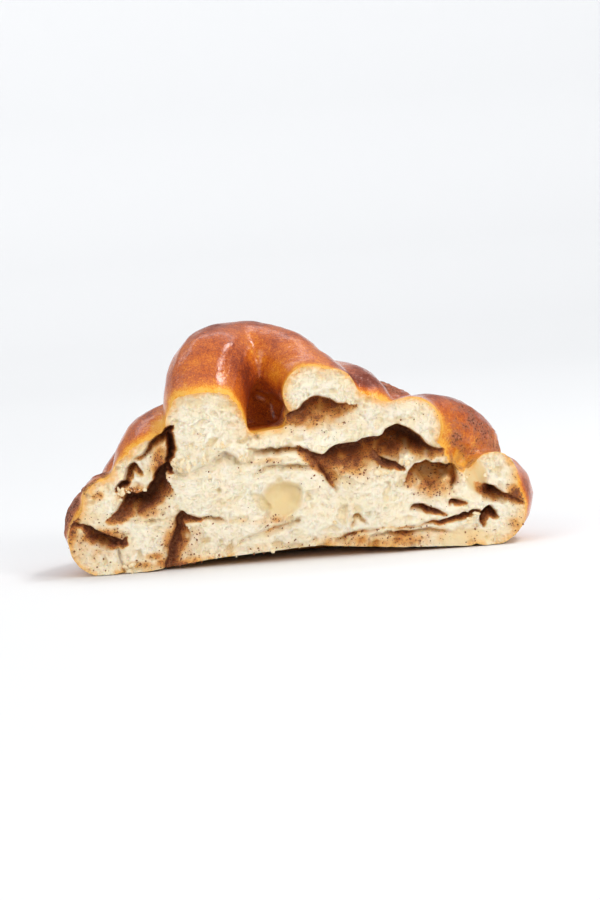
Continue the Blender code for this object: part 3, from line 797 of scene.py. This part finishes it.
def neighbour_mean(points, edges, rounds):
    """The points after each has been drawn to its neighbours' mean a number of times."""
    count = np.bincount(edges.ravel(), minlength=len(points))[:, None].clip(1)
    for _ in range(rounds):
        total = np.zeros_like(points)
        for axis in range(3):
            total[:, axis] = (np.bincount(edges[:, 0], points[edges[:, 1], axis], len(points))
                              + np.bincount(edges[:, 1], points[edges[:, 0], axis], len(points)))
        points = total / count
    return points


def store(mesh, name, values):
    mesh.attributes.new(name, "FLOAT", "POINT").data.foreach_set("value", values.astype(np.float32))


def dress_dough(dough, face):
    """Tells crust from crumb, and notes on every point how it is baked, stained and opened up, with painted
    shade in the loop's groove and in the recess between its legs.
    """
    mesh = dough.data
    points, normals = points_of(mesh), normals_of(mesh)
    x, z = points[:, 0], points[:, 2]
    torn = np.abs(points[:, 1] - CUT_Y - face.at(face.depth, x, z)) < ON_CUT
    base = points[:, 2] < arch_height(x, points[:, 1] - CUT_Y) + ON_BASE

    corners = np.empty(len(mesh.loops), int)
    mesh.loops.foreach_get("vertex_index", corners)
    starts = np.empty(len(mesh.polygons), int)
    mesh.polygons.foreach_get("loop_start", starts)
    torn_faces = np.logical_and.reduceat(torn[corners], starts)
    mesh.polygons.foreach_set("material_index", torn_faces.astype(int))
    mesh.polygons.foreach_set("use_smooth", np.ones(len(starts), bool))

    owner = np.repeat(np.arange(len(starts)), np.diff(np.append(starts, len(corners))))
    on_crumb, on_crust = np.zeros(len(points), bool), np.zeros(len(points), bool)
    on_crumb[corners[torn_faces[owner]]] = True
    on_crust[corners[~torn_faces[owner]]] = True
    rim = np.flatnonzero(on_crumb & on_crust & ~base)
    tree = KDTree(len(rim))
    for number in rim:
        tree.insert(points[number], number)
    tree.balance()
    edge = np.array([tree.find(point)[2] for point in points])

    edges = np.empty(len(mesh.edges) * 2, int)
    mesh.edges.foreach_get("vertices", edges)
    edges = edges.reshape(-1, 2)
    sharp = (on_crumb & on_crust)[edges].all(axis=1)
    mesh.attributes.new("sharp_edge", "BOOLEAN", "EDGE").data.foreach_set("value", sharp)
    crease = ((neighbour_mean(points, edges, 30) - points) * normals).sum(axis=1)

    bake_and_shade = 0.56 + 0.1 * normals[:, 2] + 0.13 * grain(points, 14.0, 41) + 0.08 * grain(points, 5.0, 42)
    bake_and_shade -= 0.62 * np.exp(-(edge / 2.6) ** 2) + 0.2 * np.exp(-edge / 8.0)
    # Painted shade: the first two spots of the table darken the groove inside the loop.
    for (cx, depth, cz), radius, amount in BAKES_AND_GROOVE_SHADE:
        away = np.linalg.norm(points - np.array([cx, CUT_Y + depth, cz]), axis=1)
        bake_and_shade += amount * np.exp(-(away / radius) ** 2)
    bake_and_shade -= np.clip(crease * 0.35, -0.1, 0.05)
    bake_and_shade -= 0.35 * (1 - smoothstep(z / 9.0))
    store(mesh, "bake_and_shade", np.clip(bake_and_shade, 0, 1))
    store(mesh, "edge", np.clip(edge, 0, 20))
    # On the crust this holds painted shade in the recess between the loop's legs, beside real cinnamon.
    store(mesh, "cinnamon", np.where(on_crumb, face.at(face.cinnamon, x, z), patch_strength(points)))
    store(mesh, "smooth", face.at(face.smooth, x, z))
    store(mesh, "pore", face.at(face.pore, x, z))


def bun_dough(face):
    dough = fused_dough()
    uneven_crust(dough)
    cut_bun(dough, face)
    keep_largest_piece(dough)
    dough.data.materials.clear()
    dough.data.materials.append(glazed_crust())
    dough.data.materials.append(open_crumb())
    dress_dough(dough, face)
    return dough


def scattered_lumps(name, places, sizes, leans, dice, fineness=1):
    """Many small irregular lumps as one mesh, each with its own place, half-sizes and lean."""
    ball = bmesh.new()
    bmesh.ops.create_icosphere(ball, subdivisions=fineness, radius=1.0)
    corners = np.array([vert.co for vert in ball.verts])
    sides = np.array([[vert.index for vert in side.verts] for side in ball.faces])
    ball.free()
    shapes = corners * dice.uniform(0.72, 1.25, (len(places), len(corners), 1)) * sizes[:, None]
    cos, sin = np.cos(leans)[:, None], np.sin(leans)[:, None]
    across = shapes[..., 0] * cos - shapes[..., 2] * sin
    up = shapes[..., 0] * sin + shapes[..., 2] * cos
    verts = places[:, None] + np.stack([across, shapes[..., 1], up], axis=-1)
    faces = sides + len(corners) * np.arange(len(places))[:, None, None]
    mesh = bpy.data.meshes.new(name)
    mesh.from_pydata((verts.reshape(-1, 3) * MM).tolist(), [], faces.reshape(-1, 3).tolist())
    return new_object(name, mesh)


def on_dough(places, dough):
    """Which places lie on the dough's surface."""
    sides = [side.vertices[:] for side in dough.data.polygons]
    surface = BVHTree.FromPolygons(points_of(dough.data).tolist(), sides)
    return np.array([surface.find_nearest(place, ON_SURFACE)[0] is not None for place in places.tolist()])


def cinnamon_paste(face, dough):
    """Lumpy paste lying along the lips of the seams."""
    dice = np.random.default_rng(51)
    spots = []
    for amount, stops in SEAMS.values():
        line = walked_line(stops)
        for (xa, za, wa, da), (xb, zb, _, _) in zip(line, line[1:]):
            if amount < PASTE_AMOUNT or da < PASTE_DEPTH or dice.random() > 0.5 * amount:
                continue
            lean = math.atan2(zb - za, xb - xa)
            for _ in range(3):
                inset = dice.uniform(0.1, 0.4) * min(wa, 2.5)
                size = min(0.3, 0.18 * wa) * dice.uniform(0.5, 1.3)
                spots.append((xa + inset * math.sin(lean), za - inset * math.cos(lean), size, lean))
    x, z, size, lean = np.array(spots).T
    places = np.column_stack([x, CUT_Y + face.at(face.depth, x, z) - 0.05 * size, z])
    kept = on_dough(places, dough)
    sizes = np.column_stack([1.7 * size, 0.8 * size, size])
    paste = scattered_lumps("cinnamon_paste", places[kept], sizes[kept], lean[kept], dice)
    paste.data.materials.append(cinnamon("cinnamon paste", (0.42, 0.16, 0.05), (0.24, 0.07, 0.022)))
    return paste


def cinnamon_specks(face, dough):
    """Grains of cinnamon and dark sugar scattered where the torn face is stained."""
    dice = np.random.default_rng(52)
    x, z = (dice.uniform(low, high, SPECK_TRIES) for low, high in SPECK_RANGE)
    stain = face.at(face.cinnamon, x, z)
    chosen = dice.random(len(x)) < 0.8 * stain**1.7 + 0.0003
    x, z = x[chosen], z[chosen]
    size = 0.08 + 0.17 * dice.random(len(x)) ** 2.5
    places = np.column_stack([x, CUT_Y + face.at(face.depth, x, z) - 0.3 * size, z])
    kept = on_dough(places, dough)
    sizes = np.column_stack([size * dice.uniform(1, 1.7, len(x)), 0.7 * size, size])
    leans = dice.uniform(0, math.pi, kept.sum())
    specks = scattered_lumps("cinnamon_specks", places[kept], sizes[kept], leans, dice)
    specks.data.materials.append(cinnamon("dark specks", (0.36, 0.13, 0.04), (0.17, 0.05, 0.018)))
    return specks


def crumb_shreds(face, dough):
    """Loose bits of crumb that hang from the torn edges."""
    dice = np.random.default_rng(53)
    spots = []
    for (x, z), spread, count in SHREDS:
        for _ in range(count):
            size = 0.16 + 0.6 * dice.random() ** 2.5
            spots.append((x + spread * dice.normal(), z + 0.7 * spread * dice.normal(), size))
    x, z, size = np.array(spots).T
    x, z, size = np.array(spots)[face.at(face.hollow, x, z) < SHREDS_DEPTH].T
    places = np.column_stack([x, CUT_Y + face.at(face.depth, x, z) - 0.35 * size, z])
    kept = on_dough(places, dough)
    lengths, heights = size * dice.uniform(0.8, 1.6, len(x)), size * dice.uniform(0.5, 1, len(x))
    sizes = np.column_stack([lengths, 0.8 * size, heights])
    leans = dice.uniform(0, math.pi, kept.sum())
    shreds = scattered_lumps("crumb_shreds", places[kept], sizes[kept], leans, dice, fineness=2)
    shreds.data.materials.append(crumb_flakes())
    return shreds


def node(tree, kind, inputs=None, **settings):
    """A new shader node. Each input is given as a value or as the output that feeds it."""
    made = tree.nodes.new(kind)
    for name, value in settings.items():
        setattr(made, name, value)
    for socket, value in (inputs or {}).items():
        if isinstance(value, bpy.types.NodeSocket):
            tree.links.new(value, made.inputs[socket])
        else:
            made.inputs[socket].default_value = value
    return made


def attribute(tree, name):
    return node(tree, "ShaderNodeAttribute", attribute_name=name).outputs["Fac"]


def calc(tree, operation, a, b):
    return node(tree, "ShaderNodeMath", {0: a, 1: b}, operation=operation).outputs[0]


def swing(tree, value, amount):
    """How far a noise lies from its middle, times amount."""
    return calc(tree, "MULTIPLY", calc(tree, "SUBTRACT", value, 0.5), amount)


def fit(tree, value, low, high, to_low=0.0, to_high=1.0):
    """The value eased from one range into another, and held at its ends."""
    inputs = {"Value": value, "From Min": low, "From Max": high, "To Min": to_low, "To Max": to_high}
    return node(tree, "ShaderNodeMapRange", inputs, interpolation_type="SMOOTHSTEP").outputs["Result"]


def mix(tree, factor, a, b):
    """Colour a, covered by colour b as far as factor says."""
    made = node(tree, "ShaderNodeMix", data_type="RGBA")
    for socket, value in zip(("Factor_Float", "A_Color", "B_Color"), (factor, a, b)):
        place = next(item for item in made.inputs if item.identifier == socket)
        if isinstance(value, bpy.types.NodeSocket):
            tree.links.new(value, place)
        elif socket == "Factor_Float":
            place.default_value = value
        else:
            place.default_value = (*value, 1.0)
    return next(item for item in made.outputs if item.identifier == "Result_Color")


def noise(tree, size_mm, detail=3.0, roughness=0.55):
    """Noise with bumps about size_mm across, in the bun's own space."""
    place = node(tree, "ShaderNodeTexCoord").outputs["Object"]
    inputs = {"Vector": place, "Scale": 1 / (size_mm * MM), "Detail": detail, "Roughness": roughness}
    return node(tree, "ShaderNodeTexNoise", inputs).outputs["Fac"]


def ramp(tree, value, stops):
    """The colour that a value has between the colours of its stops."""
    made = node(tree, "ShaderNodeValToRGB", {"Fac": value})
    elements = made.color_ramp.elements
    while len(elements) < len(stops):
        elements.new(0.5)
    for element, (place, color) in zip(elements, stops):
        element.position = place
        element.color = (*color, 1.0)
    return made.outputs["Color"]


def group(name, inputs, outputs):
    """An empty shader node group with named float inputs and outputs."""
    tree = bpy.data.node_groups.new(name, "ShaderNodeTree")
    for label, value in inputs.items():
        socket = tree.interface.new_socket(label, in_out="INPUT", socket_type="NodeSocketFloat")
        socket.default_value = value
    for label in outputs:
        tree.interface.new_socket(label, in_out="OUTPUT", socket_type="NodeSocketFloat")
    return tree, tree.nodes.new("NodeGroupInput").outputs, tree.nodes.new("NodeGroupOutput").inputs


def use_group(tree, made, **inputs):
    """Places a node group with its own values and gives its outputs."""
    placed = node(tree, "ShaderNodeGroup", node_tree=made)
    for label, value in inputs.items():
        socket = placed.inputs[label.replace("_", " ").capitalize()]
        if isinstance(value, bpy.types.NodeSocket):
            tree.links.new(value, socket)
        else:
            socket.default_value = value
    return placed.outputs


def build_cinnamon_dust():
    """Cinnamon as it lies on dough: a stain that breaks up into specks where there is less of it."""
    tree, given, out = group("cinnamon dust", {"Amount": 0.5}, ("Stain", "Specks"))
    coarse, fine = noise(tree, 1.6, 4.0, 0.6), noise(tree, 0.55, 3.0, 0.6)
    broken = calc(tree, "ADD", given["Amount"], swing(tree, coarse, 0.9))
    tree.links.new(fit(tree, broken, 0.1, 0.85), out["Stain"])
    dotted = calc(tree, "ADD", fine, calc(tree, "MULTIPLY", given["Amount"], 0.24))
    shown = calc(tree, "MULTIPLY", fit(tree, dotted, 0.68, 0.76), fit(tree, given["Amount"], 0.1, 0.36))
    tree.links.new(shown, out["Specks"])
    return tree


def build_skin_grain():
    """The fine pebbling of a baked skin: a value for colour and a height for relief."""
    tree, given, out = group("skin grain", {"Size": 1.0}, ("Tone", "Height"))
    place = node(tree, "ShaderNodeTexCoord").outputs["Object"]
    scale = calc(tree, "DIVIDE", 1 / MM, given["Size"])
    scaled = {"Vector": place, "Scale": scale}
    broad = node(tree, "ShaderNodeTexNoise", scaled | {"Detail": 4.0, "Roughness": 0.6})
    cells = node(tree, "ShaderNodeTexVoronoi", scaled)
    tree.links.new(broad.outputs["Fac"], out["Tone"])
    pebbles = calc(tree, "MULTIPLY", cells.outputs["Distance"], 0.5)
    tree.links.new(calc(tree, "ADD", broad.outputs["Fac"], pebbles), out["Height"])
    return tree


def build_crumb_web():
    """Small irregular cells of two sizes between thin walls: where they open, and the height of the walls."""
    tree, given, out = group("crumb web", {"Size": 1.0}, ("Cells", "Height"))
    place = node(tree, "ShaderNodeTexCoord").outputs["Object"]
    sway = node(tree, "ShaderNodeTexNoise", {"Vector": place, "Scale": 0.7 / MM, "Detail": 2.0})
    swayed = {0: sway.outputs["Color"], 1: (0.9 * MM,) * 3, 2: place}
    place = node(tree, "ShaderNodeVectorMath", swayed, operation="MULTIPLY_ADD").outputs["Vector"]
    scales = [calc(tree, "DIVIDE", share / MM, given["Size"]) for share in (1.0, 2.1)]
    wide, narrow = (
        node(tree, "ShaderNodeTexVoronoi", {"Vector": place, "Scale": scale},
             feature="SMOOTH_F1").outputs["Distance"] for scale in scales)
    patchy = noise(tree, 3.0, 3.0, 0.6)
    cells = calc(tree, "MULTIPLY", fit(tree, wide, 0.12, 0.42, 1.0, 0.0), fit(tree, patchy, 0.42, 0.6))
    cells = calc(tree, "MAXIMUM", cells, calc(tree, "MULTIPLY", fit(tree, narrow, 0.1, 0.4, 1.0, 0.0), 0.6))
    tree.links.new(cells, out["Cells"])
    tree.links.new(calc(tree, "SUBTRACT", 1.0, cells), out["Height"])
    return tree


CINNAMON_DUST = build_cinnamon_dust()
CRUMB_WEB = build_crumb_web()
SKIN_GRAIN = build_skin_grain()


def material(name):
    """A new material, with its node tree and its shader."""
    made = bpy.data.materials.new(name)
    made.use_nodes = True
    tree = made.node_tree
    return made, tree, tree.nodes["Principled BSDF"]


def bump(tree, height, distance_mm, normal=None):
    """Relief of so many millimetres, laid over the relief given as normal."""
    inputs = {"Height": height, "Distance": distance_mm * MM, "Strength": 1.0}
    if normal is not None:
        inputs["Normal"] = normal
    return node(tree, "ShaderNodeBump", inputs).outputs["Normal"]


def glazed_crust():
    """Egg-washed crust: golden by the cut and in the creases, amber to red-brown where it baked most, with
    painted shade darkening the groove inside the loop and the recess between its legs.
    """
    made, tree, shader = material("glazed crust")
    skin = use_group(tree, SKIN_GRAIN, size=0.9)
    fine = use_group(tree, SKIN_GRAIN, size=0.35)
    # The bake holds painted shade in the groove inside the loop.
    bake_and_shade = attribute(tree, "bake_and_shade")
    for value, amount in ((noise(tree, 5.0, 4.0, 0.6), 0.55), (skin["Tone"], 0.7), (fine["Tone"], 1.1)):
        bake_and_shade = calc(tree, "ADD", bake_and_shade, swing(tree, value, amount))
    color = ramp(tree, bake_and_shade, [
        (0.0, (0.85, 0.45, 0.08)), (0.14, (0.8, 0.34, 0.03)), (0.34, (0.68, 0.19, 0.014)),
        (0.6, (0.5, 0.1, 0.012)), (0.85, (0.28, 0.046, 0.011)), (1.0, (0.17, 0.03, 0.012)),
    ])
    # The stain's dark colour also paints shade into the recess between the loop's legs.
    dust = use_group(tree, CINNAMON_DUST, amount=attribute(tree, "cinnamon"))
    color = mix(tree, calc(tree, "MULTIPLY", dust["Stain"], 0.7), color, (0.3, 0.125, 0.09))
    sugar = calc(tree, "MULTIPLY", fit(tree, fine["Tone"], 0.52, 0.66), dust["Stain"])
    color = mix(tree, calc(tree, "MULTIPLY", sugar, 0.6), color, (0.68, 0.36, 0.2))
    color = mix(tree, calc(tree, "MULTIPLY", dust["Specks"], 0.7), color, (0.06, 0.02, 0.014))
    tree.links.new(color, shader.inputs["Base Color"])
    rough = calc(tree, "MULTIPLY", dust["Stain"], 0.3)
    rough = calc(tree, "ADD", fit(tree, noise(tree, 3.0), 0.3, 0.7, 0.3, 0.46), rough)
    tree.links.new(rough, shader.inputs["Roughness"])
    coat = fit(tree, dust["Stain"], 0.1, 0.7, 0.9, 0.05)
    coat = calc(tree, "MULTIPLY", coat, fit(tree, bake_and_shade, 0.8, 1.05, 1.0, 0.1))
    coat = calc(tree, "MULTIPLY", coat, fit(tree, attribute(tree, "edge"), 1.0, 4.0, 0.15, 1.0))
    tree.links.new(coat, shader.inputs["Coat Weight"])
    shader.inputs["Coat Roughness"].default_value = 0.13
    shader.inputs["Specular IOR Level"].default_value = 0.06
    shader.inputs["Subsurface Weight"].default_value = 0.08
    shader.inputs["Subsurface Radius"].default_value = (1.0, 0.4, 0.15)
    shader.inputs["Subsurface Scale"].default_value = 1.2 * MM
    relief = bump(tree, skin["Height"], 0.14)
    relief = bump(tree, fine["Height"], 0.08, normal=relief)
    relief = bump(tree, dust["Stain"], 0.25, normal=relief)
    tree.links.new(relief, shader.inputs["Normal"])
    gloss = bump(tree, fine["Height"], 0.02, normal=bump(tree, skin["Height"], 0.05))
    tree.links.new(gloss, shader.inputs["Coat Normal"])
    return made


def open_crumb():
    """Pale crumb: cream walls, darker and warmer inside the pores as painted shade, warmer in the pockets,
    stained by cinnamon along the seams.
    """
    made, tree, shader = material("open crumb")
    tone = noise(tree, 4.0, 4.0, 0.6)
    color = mix(tree, fit(tree, tone, 0.35, 0.7), (0.93, 0.85, 0.69), (0.91, 0.79, 0.57))
    # Painted shade: darker, warmer colour deeper in the pores.
    color = mix(tree, fit(tree, attribute(tree, "pore"), 0.1, 1.1, 0.0, 0.4), color, (0.82, 0.63, 0.3))
    smooth = attribute(tree, "smooth")
    web = use_group(tree, CRUMB_WEB, size=1.0)
    rough = calc(tree, "SUBTRACT", 1.0, smooth)
    # Painted shade inside the open cells of the web.
    opened = calc(tree, "MULTIPLY", web["Cells"], calc(tree, "MULTIPLY", rough, 0.22))
    color = mix(tree, opened, color, (0.8, 0.66, 0.36))
    color = mix(tree, calc(tree, "MULTIPLY", smooth, 0.8), color, (0.75, 0.56, 0.25))
    rim = calc(tree, "ADD", attribute(tree, "edge"), swing(tree, noise(tree, 3.5, 4.0, 0.65), 5.0))
    color = mix(tree, fit(tree, rim, 0.0, 4.5, 0.45, 0.0), color, (0.88, 0.62, 0.3))
    color = mix(tree, fit(tree, rim, -0.2, 1.6, 0.85, 0.0), color, (0.84, 0.45, 0.13))
    amount = attribute(tree, "cinnamon")
    dust = use_group(tree, CINNAMON_DUST, amount=amount)
    stained = ramp(tree, calc(tree, "MULTIPLY", calc(tree, "ADD", amount, dust["Stain"]), 0.5), [
        (0.0, (0.87, 0.6, 0.25)), (0.25, (0.76, 0.38, 0.09)), (0.5, (0.62, 0.22, 0.04)),
        (0.75, (0.44, 0.12, 0.02)), (1.0, (0.26, 0.056, 0.012)),
    ])
    color = mix(tree, fit(tree, amount, 0.02, 0.4, 0.0, 0.95), color, stained)
    color = mix(tree, calc(tree, "MULTIPLY", dust["Specks"], 0.7), color, (0.16, 0.05, 0.018))
    tree.links.new(color, shader.inputs["Base Color"])
    tree.links.new(fit(tree, smooth, 0.2, 0.9, 0.8, 0.5), shader.inputs["Roughness"])
    shader.inputs["Specular IOR Level"].default_value = 0.35
    shader.inputs["Subsurface Weight"].default_value = 0.35
    shader.inputs["Subsurface Radius"].default_value = (1.0, 0.6, 0.3)
    shader.inputs["Subsurface Scale"].default_value = 1.5 * MM
    relief = bump(tree, calc(tree, "MULTIPLY", web["Height"], rough), 0.32)
    relief = bump(tree, use_group(tree, SKIN_GRAIN, size=0.4)["Height"], 0.06, normal=relief)
    relief = bump(tree, dust["Specks"], 0.12, normal=relief)
    tree.links.new(relief, shader.inputs["Normal"])
    return made


def crumb_flakes():
    """Loose bits of crumb, cream with toasted spots."""
    made, tree, shader = material("crumb flakes")
    color = mix(tree, fit(tree, noise(tree, 0.8), 0.4, 0.7), (0.9, 0.78, 0.54), (0.84, 0.62, 0.34))
    tree.links.new(color, shader.inputs["Base Color"])
    shader.inputs["Roughness"].default_value = 0.85
    shader.inputs["Specular IOR Level"].default_value = 0.2
    tree.links.new(bump(tree, noise(tree, 0.4), 0.1), shader.inputs["Normal"])
    return made


def cinnamon(name, pale, dark):
    """Cinnamon and sugar, matt with a few moist glints."""
    made, tree, shader = material(name)
    dust = use_group(tree, CINNAMON_DUST, amount=0.55)
    grains = use_group(tree, SKIN_GRAIN, size=0.4)
    color = mix(tree, dust["Stain"], pale, dark)
    color = mix(tree, fit(tree, grains["Tone"], 0.55, 0.75, 0.0, 0.5), color, pale)
    tree.links.new(color, shader.inputs["Base Color"])
    tree.links.new(fit(tree, grains["Tone"], 0.3, 0.7, 0.45, 0.8), shader.inputs["Roughness"])
    tree.links.new(bump(tree, grains["Height"], 0.12), shader.inputs["Normal"])
    return made


def plain_surface(name, color, roughness):
    made, _, shader = material(name)
    shader.inputs["Base Color"].default_value = (*color, 1.0)
    shader.inputs["Roughness"].default_value = roughness
    return made


# The photograph's view: its size and scale, where the bun's base shows in it, its tilt, and the camera
PICTURE = (600, 900)
MM_PER_PIXEL = 0.25
BASE_ROW = 575
TILT = math.radians(4.54)
LIFT = -3.61
ELEVATION = math.radians(4.0)
LENS = 85.0
SENSOR = 36.0


def picture_point(pixel_x, pixel_y):
    """The point of the cut plane that shows at a pixel of the photograph, in millimetres."""
    u, v = (pixel_x - PICTURE[0] / 2) * MM_PER_PIXEL, (BASE_ROW - pixel_y) * MM_PER_PIXEL
    x = u * math.cos(TILT) + v * math.sin(TILT)
    z = -u * math.sin(TILT) + v * math.cos(TILT) + LIFT
    return Vector((x + CENTRING[0], CUT_Y + CENTRING[1], z))


def set_camera():
    distance = PICTURE[1] * MM_PER_PIXEL * LENS / SENSOR
    up = Vector((math.sin(TILT), 0, math.cos(TILT)))
    back = Vector((0, -math.cos(ELEVATION), 0)) + up * math.sin(ELEVATION)
    across = up.cross(back).normalized()
    turned = Matrix((across, back.cross(across), back)).transposed().to_4x4()
    turned.translation = (picture_point(PICTURE[0] / 2, PICTURE[1] / 2) + back * distance) * MM
    camera = bpy.data.objects.new("camera", bpy.data.cameras.new("camera"))
    bpy.context.scene.collection.objects.link(camera)
    camera.matrix_world = turned
    camera.data.lens = LENS
    camera.data.sensor_width = SENSOR
    camera.data.clip_start = 0.01
    bpy.context.scene.camera = camera


def area_light(name, place, target, size, power, color=(1, 1, 1)):
    light = bpy.data.lights.new(name, "AREA")
    light.shape = "RECTANGLE"
    light.size, light.size_y = size
    light.energy = power
    light.color = color
    lamp = bpy.data.objects.new(name, light)
    bpy.context.scene.collection.objects.link(lamp)
    lamp.location = place
    lamp.rotation_euler = (Vector(place) - Vector(target)).to_track_quat("Z", "Y").to_euler()


def set_studio():
    """A seamless pale bowl, large soft lights, and a small light above the loop for its streak of gloss."""
    shape = bmesh.new()
    profile = [(0.0, 0.0), (1.3, 0.0), (1.6, 0.03), (1.85, 0.12), (2.0, 0.3), (2.05, 0.6)]
    spine = [shape.verts.new((0, radius, height - 0.0002)) for radius, height in profile]
    edges = [shape.edges.new(pair) for pair in zip(spine, spine[1:])]
    bmesh.ops.spin(shape, geom=spine + edges, cent=(0, 0, 0), axis=(0, 0, 1), angle=math.tau, steps=96)
    bmesh.ops.remove_doubles(shape, verts=shape.verts, dist=MM)
    sweep = new_object("studio_sweep", mesh_of("studio_sweep", shape))
    sweep.data.shade_smooth()
    sweep.data.materials.append(plain_surface("pale sweep", (0.815, 0.82, 0.83), 0.9))
    middle = (0.0, 0.0, 0.03)
    area_light("key_light", (0.52, -0.6, 0.4), middle, (0.2, 0.3), 2.2, (1.0, 0.99, 0.97))
    area_light("left_light", (-0.6, -0.6, 0.5), middle, (0.8, 0.6), 2.7, (1.0, 0.99, 0.98))
    area_light("front_fill", (-0.1, -0.95, 0.2), middle, (1.3, 0.6), 1.1, (0.98, 0.99, 1.0))
    area_light("top_light", (0.0, 0.25, 1.0), middle, (1.5, 1.1), 1.9)
    area_light("strip_light", (0.44, 0.02, 0.72), middle, (0.3, 0.2), 2.6)
    area_light("sweep_light", (-0.15, 0.9, 1.5), (-0.15, 1.95, 0.4), (2.6, 0.9), 20.5)
    world = bpy.data.worlds.new("soft surround")
    world.use_nodes = True
    world.node_tree.nodes["Background"].inputs["Color"].default_value = (0.96, 0.98, 1.0, 1.0)
    world.node_tree.nodes["Background"].inputs["Strength"].default_value = 0.45
    bpy.context.scene.world = world
    bpy.context.scene.view_settings.view_transform = "Standard"


def main():
    face = TornFace()
    dough = bun_dough(face)
    paste = cinnamon_paste(face, dough)
    specks = cinnamon_specks(face, dough)
    shreds = crumb_shreds(face, dough)
    centring = Matrix.Translation(Vector(CENTRING) * MM)
    for piece, finish in ((dough, "dough"), (paste, "cinnamon"), (specks, "cinnamon"), (shreds, "dough")):
        piece.data.transform(centring)
        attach(piece, "root")
    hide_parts("dough")
    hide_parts(*[name for name in frame["nodes"] if name != "dough"])
    set_camera()
    set_studio()


main()
